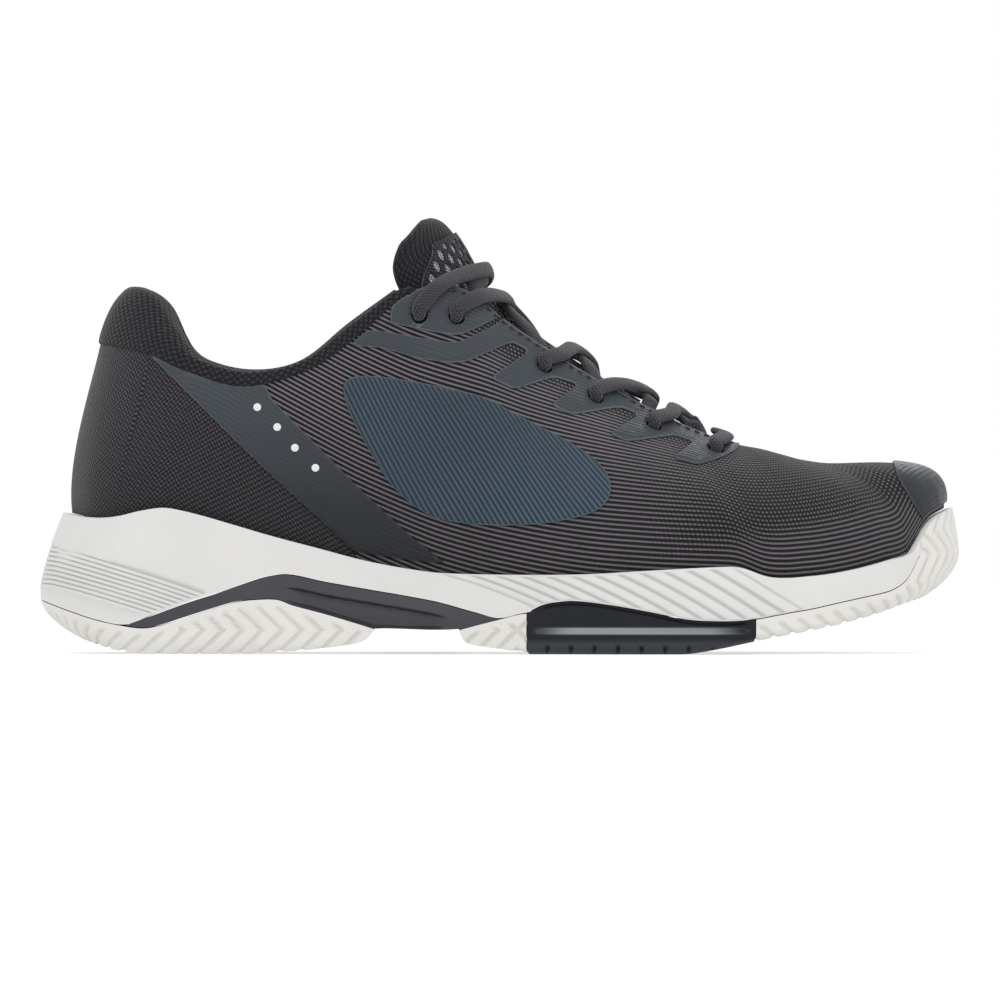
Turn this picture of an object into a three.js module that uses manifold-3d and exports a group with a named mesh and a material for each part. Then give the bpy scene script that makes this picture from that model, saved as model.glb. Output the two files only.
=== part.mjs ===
// Court shoe for the right foot. Millimetres, +X to the toe, +Y to the inner (medial) side, +Z up.
// The origin is on the ground under the middle of the shoe.
import * as THREE from 'three';
import { mergeVertices } from 'three/examples/jsm/utils/BufferGeometryUtils.js';
import Module from 'manifold-3d';

const wasm = await Module();
wasm.setup();

// ---- driving dimensions -------------------------------------------------------------------------
const GAP = 0.3;              // clearance that touching pieces keep
const MESH_T = 1.4;           // upper textile
const FILM_T = 0.6;           // fused films on the upper
const LINING_T = 0.8;
const LACE_W = 4.4;           // flat oval lace
const LACE_T = 1.8;
const EYELET_R = 3.4;
const ROWS = 18;              // stations from the heel centre (0) to the toe tip (18) on each side
const VAMP_ROW = 14;          // from this station on, both sides meet on the spine of the vamp

// sole outline in plan, outer side then inner side, one point per station
const OUTER = [[-150, 0], [-147.5, -14], [-140, -27], [-127, -36.5], [-110, -40.5], [-85, -40.5],
  [-60, -38.5], [-40, -37.5], [-20, -40], [0, -46], [20, -52], [45, -57], [70, -57.5], [90, -54],
  [108, -47], [124, -36], [137, -22], [146, -6], [149.2, 10]];
const INNER = [[-150, 0], [-147.5, 14], [-140, 27], [-127, 36], [-110, 39.5], [-85, 38.5],
  [-60, 35], [-40, 32], [-20, 31], [0, 33.5], [20, 40], [45, 49], [70, 54.5], [90, 55],
  [110, 52], [128, 45.5], [140, 36], [147, 24], [149.2, 10]];

// top edge of the upper textile: x, distance from the centre line, z
const EDGE = [[-130.2, 0, 101], [-128.6, 9.5, 100.8], [-123.5, 18, 99.9], [-114, 26.5, 97.3],
  [-101, 32, 91.4], [-82.7, 35.3, 86.8], [-62, 36, 92.3], [-45, 34.3, 104.3], [-30, 29.5, 117],
  [-13, 22.5, 118.2], [3, 17.5, 106.5], [26, 15, 91.5], [50, 12.5, 78.3], [69, 9.5, 69.6],
  [79.5, 0, 67.2]];

// rolled top line of the padded collar, stations 0 to 8, and the thickness of its padding
const TOPLINE = [[-119, 0, 119], [-117, 9, 118.6], [-111.5, 16, 115.6], [-105, 23.5, 105.5],
  [-97, 28, 96.3], [-81.5, 31, 92], [-65, 31.5, 94.9], [-49.5, 31, 107], [-35.5, 28, 117.2]];
const PAD = [13, 13, 12.5, 11.5, 10.5, 10, 9.5, 9, 8];

// ---- curves ---------------------------------------------------------------------------------------
const lerp = (a, b, t) => a + (b - a) * t;
const clamp = (v, a, b) => Math.min(b, Math.max(a, v));

// smooth function through [x, value] points, flat outside them
function curve(points) {
  const n = points.length;
  const slope = points.map((p, i) => {
    const a = points[Math.max(i - 1, 0)];
    const b = points[Math.min(i + 1, n - 1)];
    return (b[1] - a[1]) / (b[0] - a[0]);
  });
  return x => {
    if (x <= points[0][0]) return points[0][1];
    if (x >= points[n - 1][0]) return points[n - 1][1];
    let i = 0;
    while (x > points[i + 1][0]) i++;
    const h = points[i + 1][0] - points[i][0];
    const t = (x - points[i][0]) / h;
    const a = points[i][1];
    const b = points[i + 1][1];
    return a + (b - a) * t * t * (3 - 2 * t)
      + h * (slope[i] * t * (1 - t) * (1 - t) - slope[i + 1] * t * t * (1 - t));
  };
}

// Catmull-Rom value at t in [0, 1] between b and c
function smooth(a, b, c, d, t) {
  return b.map((_, k) => 0.5 * (2 * b[k] + (c[k] - a[k]) * t
    + (2 * a[k] - 5 * b[k] + 4 * c[k] - d[k]) * t * t
    + (3 * b[k] - a[k] - 3 * c[k] + d[k]) * t * t * t));
}

function along(points, r) {
  const i = clamp(Math.floor(r), 0, points.length - 2);
  const at = k => points[clamp(k, 0, points.length - 1)];
  return smooth(at(i - 1), at(i), at(i + 1), at(i + 2), r - i);
}

// side is -1 for the outer (lateral) side and +1 for the inner (medial) side
function plan(side, r) {
  const own = side < 0 ? OUTER : INNER;
  const other = side < 0 ? INNER : OUTER;
  const at = k => (k < 0 ? other[-k] : k > ROWS ? other[2 * ROWS - k] : own[k]);
  const i = clamp(Math.floor(r), 0, ROWS - 1);
  return smooth(at(i - 1), at(i), at(i + 1), at(i + 2), r - i);
}

// outline moved inwards by inset: x, y and the unit vector that points out
function outline(side, r, inset = 0) {
  const e = 0.01;
  const a = r - e < 0 ? plan(-side, e - r) : plan(side, r - e);
  const b = r + e > ROWS ? plan(-side, 2 * ROWS - r - e) : plan(side, r + e);
  const l = Math.hypot(b[0] - a[0], b[1] - a[1]);
  const nx = -side * (b[1] - a[1]) / l;
  const ny = side * (b[0] - a[0]) / l;
  const p = plan(side, r);
  return { x: p[0] - nx * inset, y: p[1] - ny * inset, x0: p[0], nx, ny };
}

// heights as functions of the outline's x
const tread = curve([[-150, 4.6], [-142, 3.9], [-133.7, 2.7], [-125.6, 1.2], [-117, 0.1], [-112, 0],
  [-60, 0], [40, 0], [58, 0], [68, 1.3], [82.4, 4.2], [107.4, 8.9], [122, 12.4], [132, 15.2],
  [140, 17], [149.2, 18.4]]);
const ground = x => Math.max(0, tread(x));
const rim = curve([[-150, 45.5], [-140, 44.2], [-132, 43.9], [-125.6, 44.5], [-117.5, 46.15],
  [-109.7, 47.1], [-103.2, 46.15], [-96, 44.4], [-85.3, 41.3], [-74.6, 38.2], [-57, 33.5],
  [-43.4, 29.9], [-30, 27.3], [-19.2, 26], [6, 25.5], [26.2, 25.7], [46.3, 26.8], [72.6, 28.1],
  [78, 27.7], [86.3, 25], [92.5, 24.5], [100, 25], [107.4, 25.8], [117.3, 27.6], [127.2, 30.2],
  [134.5, 32.4], [137.5, 36.5], [140.5, 41.3], [143.5, 44.3], [149.2, 47.1]]);
const bed = curve([[-150, 34], [-130, 31], [-100, 30], [-75, 29.3], [-50, 27], [-20, 22.5],
  [20, 19], [60, 17.5], [90, 17.8], [115, 20.5], [132, 25], [149.2, 33]]);
const rimInset = curve([[-150, 7.5], [-135, 5.5], [-100, 4.5], [-60, 3.5], [0, 3.2], [80, 3.2],
  [120, 2.6], [149.2, 2.2]]);
const bedInset = curve([[-150, 14], [-120, 9.5], [-60, 7.5], [0, 7.5], [80, 8], [125, 9],
  [149.2, 13]]);

// ---- surface of the upper: a Bezier rib at each station ---------------------------------------------
const spineZ = curve([[79.5, 67.2], [84, 66.4], [90.5, 64.7], [95, 63.4], [102.4, 61.9],
  [112.3, 61.6], [118, 61.5]]);
const spineY = curve([[79.5, 0], [90, 1], [104, 4], [118, 7.5]]);
const footRise = curve([[0, 0.3], [9, 0.34], [14, 0.36], [16, 0.45], [18, 0.52]]);
const topPull = curve([[0, 16], [3, 15], [5, 14], [8, 26], [9, 30], [11, 26], [14, 22], [16, 18],
  [18, 14]]);
const topLean = curve([[0, 0.12], [4, 0.12], [7, 0.1], [8, 0.25], [9, 0.72], [10, 0.8], [12, 1.5],
  [13, 2.2]]);

function edgePoint(side, r) {
  if (r >= VAMP_ROW) {
    const x = lerp(79.5, 118, (r - VAMP_ROW) / (ROWS - VAMP_ROW));
    return new THREE.Vector3(x, spineY(x), spineZ(x));
  }
  const p = along(EDGE, r);
  return new THREE.Vector3(p[0], side * p[1], p[2]);
}

// direction in which the rib leaves its top edge, away from the centre line
function edgeFall(side, r, edge) {
  if (r >= VAMP_ROW) {
    const turn = (Math.PI / 2) * ((r - VAMP_ROW) / (ROWS - VAMP_ROW)) ** 1.5;
    const dx = Math.sin(turn);
    const drift = spineY(edge.x) - spineY(edge.x - 1);
    const slope = spineZ(edge.x + 0.5) - spineZ(edge.x - 0.5);
    return new THREE.Vector3(dx, side * Math.cos(turn) + drift * dx, slope * dx);
  }
  const back = r < 3 ? curve([[0, -0.22], [3, -0.1]])(r) : 0.06;
  const lean = r < 1 ? topLean(r) * r : topLean(r);
  const flat = curve([[12.5, 1], [14, 0]])(r);
  return new THREE.Vector3(back, side * lean, -flat).normalize();
}

function ribFoot(side, r) {
  const x0 = plan(side, r)[0];
  const p = outline(side, r, rimInset(x0) + 3);
  return { at: new THREE.Vector3(p.x, p.y, rim(x0)), out: new THREE.Vector3(p.nx, p.ny, 0), x0 };
}

// point of the upper's outer surface: v runs from the rim of the sole (0) to the top edge (1)
function skin(side, r, v) {
  const f = ribFoot(side, r);
  const top = edgePoint(side, r);
  const rise = top.distanceTo(f.at) * footRise(r);
  const a = f.at.clone().addScaledVector(f.out, 2.2).add(new THREE.Vector3(0, 0, rise));
  const b = top.clone().addScaledVector(edgeFall(side, r, top), topPull(r));
  const w = 1 - v;
  return f.at.clone().multiplyScalar(w * w * w)
    .addScaledVector(a, 3 * w * w * v)
    .addScaledVector(b, 3 * w * v * v)
    .addScaledVector(top, v * v * v);
}

// ---- solids -------------------------------------------------------------------------------------------
function meshOf(points, index) {
  const g = new THREE.BufferGeometry();
  g.setAttribute('position', new THREE.Float32BufferAttribute(points.flatMap(p => [p.x, p.y, p.z]), 3));
  if (points[0].normal) {
    const n = points.flatMap(p => [p.normal.x, p.normal.y, p.normal.z]);
    g.setAttribute('normal', new THREE.Float32BufferAttribute(n, 3));
  }
  g.setIndex(index);
  const merged = mergeVertices(g, 1e-3);
  const kept = [];
  const idx = merged.index.array;
  for (let i = 0; i < idx.length; i += 3) {
    const [a, b, c] = [idx[i], idx[i + 1], idx[i + 2]];
    if (a !== b && b !== c && c !== a) kept.push(a, b, c);
  }
  merged.setIndex(kept);
  return merged;
}

// surface through a grid of points, rows by columns
function sheetOf(grid, flip = false) {
  const cols = grid[0].length;
  const index = [];
  for (let i = 0; i + 1 < grid.length; i++) {
    for (let j = 0; j + 1 < cols; j++) {
      const a = i * cols + j;
      const b = a + cols;
      if (flip) index.push(a, a + 1, b + 1, a, b + 1, b);
      else index.push(a, b + 1, a + 1, a, b, b + 1);
    }
  }
  return { points: grid.flat(), index };
}

function join(...sheets) {
  const points = [];
  const index = [];
  for (const s of sheets) {
    const base = points.length;
    points.push(...s.points);
    index.push(...s.index.map(k => k + base));
  }
  return meshOf(points, index);
}

// closed solid between two offsets of an open surface
function thicken(surface, outer, inner) {
  const pos = surface.attributes.position;
  const nor = surface.attributes.normal;
  const idx = surface.index.array;
  const n = pos.count;
  const points = [];
  for (const off of [outer, inner]) {
    for (let i = 0; i < n; i++) {
      points.push(new THREE.Vector3().fromBufferAttribute(pos, i)
        .addScaledVector(new THREE.Vector3().fromBufferAttribute(nor, i), off));
    }
  }
  const index = [];
  const edges = new Map();
  for (let i = 0; i < idx.length; i += 3) {
    const t = [idx[i], idx[i + 1], idx[i + 2]];
    index.push(t[0], t[1], t[2], t[0] + n, t[2] + n, t[1] + n);
    for (let k = 0; k < 3; k++) {
      const a = t[k];
      const b = t[(k + 1) % 3];
      if (edges.has(`${b}_${a}`)) edges.delete(`${b}_${a}`);
      else edges.set(`${a}_${b}`, [a, b]);
    }
  }
  for (const [a, b] of edges.values()) index.push(a, a + n, b + n, a, b + n, b);
  return meshOf(points, index);
}

function solid(geometry) {
  const g = new THREE.BufferGeometry();
  g.setAttribute('position', geometry.attributes.position.clone());
  g.setIndex(geometry.index ? Array.from(geometry.index.array) : null);
  const m = mergeVertices(g, 1e-4);
  return new wasm.Manifold(new wasm.Mesh({
    numProp: 3,
    vertProperties: new Float32Array(m.attributes.position.array),
    triVerts: new Uint32Array(m.index.array),
  }));
}

function geometryOf(manifold) {
  const m = manifold.simplify(0.02).getMesh();
  const g = new THREE.BufferGeometry();
  g.setAttribute('position', new THREE.Float32BufferAttribute(m.vertProperties, 3));
  g.setIndex(Array.from(m.triVerts));
  return g;
}

// prism across the shoe from a side-view outline of [x, z] points
function prism(points, yFrom = -90, yTo = 90) {
  const shape = new THREE.Shape(points.map(p => new THREE.Vector2(p[0], p[1])));
  const g = new THREE.ExtrudeGeometry(shape, { depth: yTo - yFrom, bevelEnabled: false });
  g.rotateX(Math.PI / 2);
  g.translate(0, yTo, 0);
  return solid(g);
}

// polyline moved sideways by d, to the left of its direction
function shifted(points, d) {
  return points.map((p, i) => {
    const a = points[Math.max(i - 1, 0)];
    const b = points[Math.min(i + 1, points.length - 1)];
    const l = Math.hypot(b[0] - a[0], b[1] - a[1]);
    return [p[0] - d * (b[1] - a[1]) / l, p[1] + d * (b[0] - a[0]) / l];
  });
}

const shoe = new THREE.Group();

function add(name, geometry, color, roughness, metalness = 0) {
  const mesh = new THREE.Mesh(geometry, new THREE.MeshStandardMaterial({ color, roughness, metalness }));
  mesh.name = name;
  shoe.add(mesh);
}

// ---- sole unit ----------------------------------------------------------------------------------------
const range = (a, b, n) => Array.from({ length: n + 1 }, (_, i) => lerp(a, b, i / n));
const STATIONS = [...range(0, VAMP_ROW, 28), ...range(VAMP_ROW, ROWS, 9).slice(1)];
const SIDES = [-1, 1];

// the wall's foot is rounded off: by how much, and up to what part of its height
const bevel = curve([[-150, 14], [-140, 9.5], [-125, 3.2], [-100, 2.6], [100, 2.6], [125, 4], [140, 8],
  [149.2, 11.5]]);
const bevelTo = curve([[-150, 0.37], [-130, 0.22], [-100, 0.12], [100, 0.14], [130, 0.36],
  [149.2, 0.56]]);
const WALL = [0, 0.035, 0.08, 0.15, 0.26, 0.42, 0.62, 0.84];

function wallPoint(side, r, k) {
  const x0 = plan(side, r)[0];
  const low = ground(x0);
  const high = rim(x0);
  const f = WALL[k];
  const taper = Math.max(0, (f - 0.42) / 0.58) ** 1.3 * rimInset(x0);
  const insets = [rimInset(x0), rimInset(x0) + 2.2, bedInset(x0)];
  const inset = k < WALL.length
    ? bevel(x0) * Math.max(0, 1 - f / bevelTo(x0)) ** 2.2 + taper
    : insets[k - WALL.length];
  const p = outline(side, r, inset);
  const z = k < WALL.length ? lerp(low, high, f) : [high, high - 0.1, bed(x0)][k - WALL.length];
  return new THREE.Vector3(p.x, p.y, z);
}

function across(left, right, n) {
  return left.map((p, i) => range(0, 1, n).map(t => p.clone().lerp(right[i], t)));
}

function soleEnvelope() {
  const sheets = SIDES.map(side => {
    const grid = STATIONS.map(r => range(0, WALL.length + 2, WALL.length + 2)
      .map(k => wallPoint(side, r, k)));
    return sheetOf(grid, side > 0);
  });
  const loop = (side, k) => STATIONS.map(r => wallPoint(side, r, k));
  const last = WALL.length + 2;
  return solid(join(...sheets,
    sheetOf(across(loop(-1, 0), loop(1, 0), 3), true),
    sheetOf(across(loop(-1, last), loop(1, last), 3))));
}

// side-view lines where the layers of the sole meet
const HEEL_LINE = [[-170, 18.2], [-150, 17.4], [-146.7, 16.2], [-139.3, 13.6], [-131.1, 11], [-122, 9.1],
  [-115.5, 8.4], [-109.7, 9.4], [-101.6, 12], [-93.4, 14.6], [-85.3, 16.9], [-77.2, 17.7],
  [-72, 17.5], [-67.8, 15.9], [-57, 13], [-46.2, 9.75], [-41, 8.1]];
const SHANK_LINE = [[-121.4, 9.4], [-112.3, 12.7], [-101.6, 16.6], [-93.4, 19.2], [-85.3, 22.1],
  [-77.2, 24.7], [-69, 25.6], [-57, 23.2], [-43.4, 20.8], [-30, 18.5], [-20.3, 16.6], [-8.3, 13.3],
  [-0.8, 11.5]];
const FORE_LINE = [[8, 13.2], [30, 13], [50, 11.8], [66, 10.5], [76, 10.5], [82.4, 11.4], [92.5, 13.3],
  [100, 14.6], [107.4, 16.25], [117.3, 18.4], [123.7, 19.8], [127.2, 21.1], [130.8, 23.7],
  [133.1, 27.3], [134.8, 31], [135.6, 36], [135.8, 60]];
const INSERT_LINE = [[80.4, -5], [81.4, 3.9], [82.6, 8], [81.6, 11.2], [76, 10.5], [66.1, 10.5],
  [59.5, 11], [52.8, 12.35], [42.9, 14.3], [33, 15.9], [23.6, 16.9], [18.4, 16.6], [13.2, 15.6],
  [8, 13], [8, -5]];
const INSERT_DEPTH = -31;

const shankArea = prism([...shifted(SHANK_LINE, -GAP / 2),
  ...shifted([...HEEL_LINE.slice(5), [-38, 8.1], [-14.2, 7.9]], GAP / 2).reverse()]);
const heelArea = prism([...shifted(HEEL_LINE, -GAP / 2), [-44.2, 4.4], [-51.5, 2.6], [-66, 1],
  [-80, -0.3], [-90, -6], [-170, -6]]);
const foreArea = prism([...shifted([[-13.9, 7.8], [-0.6, 11.3], ...FORE_LINE], -GAP / 2), [170, 60],
  [170, -6], [20, -6], [14, -0.3], [9, 0.5], [0, 1.6], [-9.6, 3], [-12.2, 4.2]]);
const midArea = prism([...shifted([...HEEL_LINE.slice(0, 5), ...SHANK_LINE, ...FORE_LINE], GAP / 2),
  [100, 70], [-170, 70]]);

const sole = soleEnvelope();
const insertArea = prism(INSERT_LINE, -90, INSERT_DEPTH);
const insertPocket = prism(shifted(INSERT_LINE, -GAP), -90, INSERT_DEPTH + GAP);

add('outsole_heel', geometryOf(sole.intersect(heelArea)), 0xdedede, 0.6);
add('outsole_forefoot', geometryOf(sole.intersect(foreArea).subtract(insertPocket)), 0xe4e1dd, 0.6);
add('outsole_lateral_insert', geometryOf(sole.intersect(foreArea.add(insertArea)).intersect(insertArea)),
  0x3a3d42, 0.5);
add('shank', geometryOf(sole.intersect(shankArea)), 0x4a494e, 0.4);
add('midsole', geometryOf(sole.intersect(midArea).subtract(insertPocket)), 0xe6e5e2, 0.7);

// flat layer that follows the foot bed between two heights above it
function bedLayer(extra, low, high) {
  const ring = (side, up) => STATIONS.map(r => {
    const x0 = plan(side, r)[0];
    const p = outline(side, r, bedInset(x0) + extra - (up > 3 ? 1.2 : 0));
    return new THREE.Vector3(p.x, p.y, bed(x0) + up);
  });
  const sides = SIDES.map(side => sheetOf(ring(side, low).map((p, i) => [p, ring(side, high)[i]]),
    side > 0));
  return join(...sides,
    sheetOf(across(ring(-1, low), ring(1, low), 2), true),
    sheetOf(across(ring(-1, high), ring(1, high), 2)));
}

add('lasting_board', bedLayer(2.8, GAP, 1.3), 0xc8c2b4, 0.9);
add('insole', bedLayer(6.3, 1.7, 6.2), 0x2b2c30, 0.95);

// ---- upper --------------------------------------------------------------------------------------------
// v below 0 is the skirt inside the rim of the sole, down to the foot bed at -1
function wall(side, r, v) {
  if (v >= 0) return skin(side, r, v);
  const f = ribFoot(side, r);
  const p = outline(side, r, bedInset(f.x0) + 0.9);
  return f.at.clone().lerp(new THREE.Vector3(p.x, p.y, bed(f.x0) + 0.4), -v);
}

const ALL_V = [-1, 0, 0.14, 0.28, 0.42, 0.56, 0.7, 0.85, 1];

// the same, past the heel centre, the toe tip and the spine of the vamp, where the sides meet
function wallPast(side, r, v) {
  if (r < 0) return wallPast(-side, -r, v);
  if (r > ROWS) return wallPast(-side, 2 * ROWS - r, v);
  if (v > 1) return r >= VAMP_ROW ? wall(-side, r, 2 - v) : null;
  return wall(side, r, Math.max(v, -1));
}

function wallNormal(side, r, v) {
  const e = 0.03;
  const dr = wallPast(side, r + e, v).sub(wallPast(side, r - e, v));
  const above = wallPast(side, r, v + e) || wall(side, r, 1);
  const dv = above.sub(wallPast(side, r, v - e));
  return dr.cross(dv).normalize().multiplyScalar(-side);
}

function upperSkin(rows, vs, sides = SIDES) {
  return join(...sides.map(side => sheetOf(rows.map(r => vs.map(v => {
    const p = wall(side, r, v);
    p.normal = wallNormal(side, r, v);
    return p;
  })), side > 0)));
}

const rowsFrom = (a, b) => [a, ...STATIONS.filter(r => r > a && r < b), b];

// eyelets: station and height of each row, from the ankle to the toe
const EYELETS = [[8.16, 0.89], [8.84, 0.87], [10.44, 0.88], [11.12, 0.86], [11.9, 0.86], [12.92, 0.84]];
const EDGE_ROWS = [8.6, 9.5, 10.55, 11.28, 12.02, 12.88];

function frameAt(side, r, v) {
  const e = 0.02;
  const at = skin(side, r, v);
  const dr = skin(side, r + e, v).sub(skin(side, r - e, v));
  const dv = skin(side, r, Math.min(v + e, 1)).sub(skin(side, r, v - e));
  const normal = dr.clone().cross(dv).normalize().multiplyScalar(-side);
  return { at, normal, along: dr.normalize(), up: dv.normalize() };
}

function eyeletDrills(side) {
  const drills = EYELETS.map(([r, v]) => {
    const f = frameAt(side, r, v);
    const g = new THREE.CylinderGeometry(EYELET_R, EYELET_R, 9, 10);
    g.applyQuaternion(new THREE.Quaternion().setFromUnitVectors(new THREE.Vector3(0, 1, 0), f.normal));
    g.translate(f.at.x, f.at.y, f.at.z);
    return solid(g);
  });
  return wasm.Manifold.union(drills);
}

const drills = { '-1': eyeletDrills(-1), 1: eyeletDrills(1) };

const textile = solid(thicken(upperSkin(STATIONS, ALL_V), 0, -MESH_T));
const HEEL_SEAM = [[-122, 104.9], [-115.5, 98.5], [-85.3, 68.9], [-48, 34], [-40, 10]];
const heelSide = prism([...shifted(HEEL_SEAM, -GAP / 2), [-170, 10], [-170, 140], [-122, 140]]);
const frontSide = prism([...shifted(HEEL_SEAM, GAP / 2).reverse(), [-122, 140], [170, 140], [170, 10]]);
const TOE_SEAM = [[74, 80], [78.5, 66], [90, 40], [97, 10]];
const vampSide = prism([...shifted(TOE_SEAM, GAP / 2), [170, 10], [170, 80]]);
const rearSide = prism([...shifted(TOE_SEAM, -GAP / 2), [-170, 10], [-170, 140], [74, 140]]);

add('heel_panel', geometryOf(textile.intersect(heelSide)), 0x3c3b41, 0.9);
add('vamp_mesh', geometryOf(textile.intersect(vampSide)), 0x4f4c54, 0.9);
const quarters = textile.intersect(frontSide).intersect(rearSide);
const half = { '-1': prism([[-170, 0], [170, 0], [170, 140], [-170, 140]], -90, 0),
  1: prism([[-170, 0], [170, 0], [170, 140], [-170, 140]], 0, 90) };
for (const [side, label] of [[-1, 'lateral'], [1, 'medial']]) {
  add(`quarter_${label}`, geometryOf(quarters.intersect(half[side]).subtract(drills[side])), 0x3e4046, 0.9);
}

const STIFFENER_V = [0.03, 0.14, 0.28, 0.42, 0.56, 0.7];
add('heel_counter', thicken(upperSkin(rowsFrom(0, 5.2), STIFFENER_V), -1.8, -2.8), 0x77736b, 0.7);
add('toe_puff', thicken(upperSkin(rowsFrom(15.6, 18), STIFFENER_V), -1.8, -2.7), 0x77736b, 0.7);
const HALF_ROWS = STATIONS.filter((_, i) => i % 2 === 0 || i > 27);
add('lining', thicken(upperSkin(HALF_ROWS, [-0.8, 0, 0.22, 0.45, 0.68]), -3.2, -3.2 - LINING_T),
  0x2a2b2f, 0.95);

// fused films: side-view outlines on each side
const STRAP = [[-118, 106], [-116, 99], [-85.9, 68.7], [-48.6, 33.8], [-40.5, 20], [-8, 20],
  [-15.1, 27.3], [-28.1, 37.1], [-44.4, 52], [-52.8, 60.5], [-73.9, 81.9], [-79, 92], [-100, 106]];
const EYESTAY = [[-49.2, 99.6], [-38.5, 98.8], [-27.8, 95.6], [-17.1, 93.9], [-11.2, 94.3],
  [3.1, 100.8], [8.9, 97.5], [-4.1, 89.1], [4.1, 85.2], [16.7, 89.4], [24.9, 86.8], [15.8, 80.3],
  [22.6, 77], [38.4, 79.6], [44.4, 77], [34.6, 71], [40.5, 68.3], [56.1, 70.5], [62.1, 68.3],
  [55.1, 63.1], [63.2, 60.8], [70.7, 63.1], [76.5, 66], [84, 80], [60, 95], [20, 118], [6, 116],
  [-0.8, 106.9], [-14.3, 100.2], [-27, 102.3], [-43, 105]];
const EYESTAY_TOP = [[-36, 110.3], [-36, 106.9], [-26.5, 104.8], [-16.4, 102.9], [-12.5, 103.2],
  [-6.3, 106.1], [1, 110], [8, 118], [-10, 130], [-30, 130]];
const SIDE_PANEL = [[-50, 88.5], [-12, 84.6], [6, 76.5], [27, 65], [35, 55.5], [31, 46.5], [12, 42],
  [-12, 42.2], [-27, 47], [-40, 61]];
const TOE_FILM = [[126.6, 66], [129, 56], [138.5, 40], [160, 40], [160, 66]];

for (const [side, label] of [[-1, 'lateral'], [1, 'medial']]) {
  const film = solid(thicken(upperSkin(rowsFrom(0, 13.8), [0.035, ...ALL_V.slice(2, 8), 0.995], [side]),
    GAP + FILM_T, GAP)).subtract(drills[side]);
  add(`strap_film_${label}`, geometryOf(film.intersect(prism(STRAP))), 0x4a4d54, 0.5);
  add(`eyestay_film_${label}`, geometryOf(film.intersect(prism(EYESTAY))), 0x50545a, 0.5);
  add(`eyestay_top_${label}`, geometryOf(film.intersect(prism(EYESTAY_TOP))), 0x50545a, 0.5);
  add(`side_panel_${label}`, geometryOf(film.intersect(prism(SIDE_PANEL))), 0x3b4854, 0.5);
}
const toeSkin = upperSkin(rowsFrom(15, 18), [0.04, ...ALL_V.slice(2)]);
add('toe_film', geometryOf(solid(thicken(toeSkin, GAP + FILM_T, GAP)).intersect(prism(TOE_FILM))),
  0x4d535b, 0.5);

// ---- padded collar ------------------------------------------------------------------------------------
const padding = curve(PAD.map((p, i) => [i, p]));

// closed section of the collar, from its lower outer edge over the top line and down inside the shoe
function collarSection(side, r) {
  const e = edgePoint(side, r);
  const n = wallNormal(side, r, 1);
  const t = along(TOPLINE, r);
  const top = new THREE.Vector3(t[0], side * t[1], t[2]);
  const out = new THREE.Vector3(n.x, n.y, 0).normalize();
  const pad = padding(r);
  const rise = top.clone().sub(e);
  const slim = clamp((r - 7) / 0.8, 0, 1);
  const inside = (v, depth) => {
    const w = lerp(v, 0.94 + 0.06 * (v - 0.72) / 0.28, slim);
    return wall(side, r, w).addScaledVector(wallNormal(side, r, w), -depth);
  };
  const up = e.clone().sub(wall(side, r, 0.97)).normalize();
  const offset = (p, o, z) => p.clone().addScaledVector(out, o).add(new THREE.Vector3(0, 0, z));
  return [
    e.clone().addScaledVector(up, 0.5).addScaledVector(n, 0.3),
    offset(e.clone().addScaledVector(rise, 0.3), pad * 0.2, 0.5),
    offset(e.clone().addScaledVector(rise, 0.66), pad * 0.27, 0.7),
    offset(top, pad * 0.24, -0.7),
    top,
    offset(top, -pad * 0.3, -1.2),
    offset(top, -pad * 0.52, -pad * 0.5),
    inside(0.92, lerp(pad * 0.86, 5.5, slim)),
    inside(0.84, lerp(pad * 0.62, 4.5, slim)),
    inside(0.74, 3.6),
    inside(0.72, 2.1),
    inside(0.84, 1.8),
    inside(0.97, 1.8),
    e.clone().addScaledVector(up, 0.5).addScaledVector(n, -1.8),
  ];
}

// solid through closed sections, with flat ends
function loft(sections, flip = false) {
  const m = sections[0].length;
  const points = sections.flat();
  const index = [];
  const put = (a, b, c) => (flip ? index.push(a, c, b) : index.push(a, b, c));
  for (let i = 0; i + 1 < sections.length; i++) {
    for (let j = 0; j < m; j++) {
      const a = i * m + j;
      const b = i * m + (j + 1) % m;
      put(a, b + m, b);
      put(a, a + m, b + m);
    }
  }
  for (const [i, turn] of [[0, 1], [sections.length - 1, 0]]) {
    const centre = sections[i].reduce((s, p) => s.add(p), new THREE.Vector3()).divideScalar(m);
    const c = points.push(centre) - 1;
    for (let j = 0; j < m; j++) {
      const a = i * m + j;
      const b = i * m + (j + 1) % m;
      if (turn) put(a, b, c);
      else put(b, a, c);
    }
  }
  return meshOf(points.map(p => new THREE.Vector3(p.x, p.y, p.z)), index);
}

const COLLAR_ROWS = [...range(0, 8, 16), 8.2];
add('collar', loft([...COLLAR_ROWS.slice(1).reverse().map(r => collarSection(-1, r)),
  ...COLLAR_ROWS.map(r => collarSection(1, r))], true), 0x242529, 0.95);

// ---- tongue -------------------------------------------------------------------------------------------
// x and z of the ridge, half width, depth of the edges below the ridge, thickness, and the lean of
// the outward direction above the horizontal in degrees
const TONGUE = [[90, 60.4, 14, 4, 2.2, 72], [80, 63.6, 16, 6, 2.4, 70], [69, 67.2, 18, 9, 3, 65],
  [50.4, 78, 20, 12, 4, 60], [26.6, 92.2, 21, 14, 5, 57], [4.2, 107.8, 22, 17, 6, 50],
  [-5.2, 117.6, 22.5, 20, 7, 40], [-9.8, 126.6, 23, 23.5, 8, 32], [-14, 134, 23, 22.5, 8, 27],
  [-18.5, 139.5, 21.5, 14.5, 7, 24], [-23.5, 142.4, 18, 7.5, 4.5, 22]];

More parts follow.
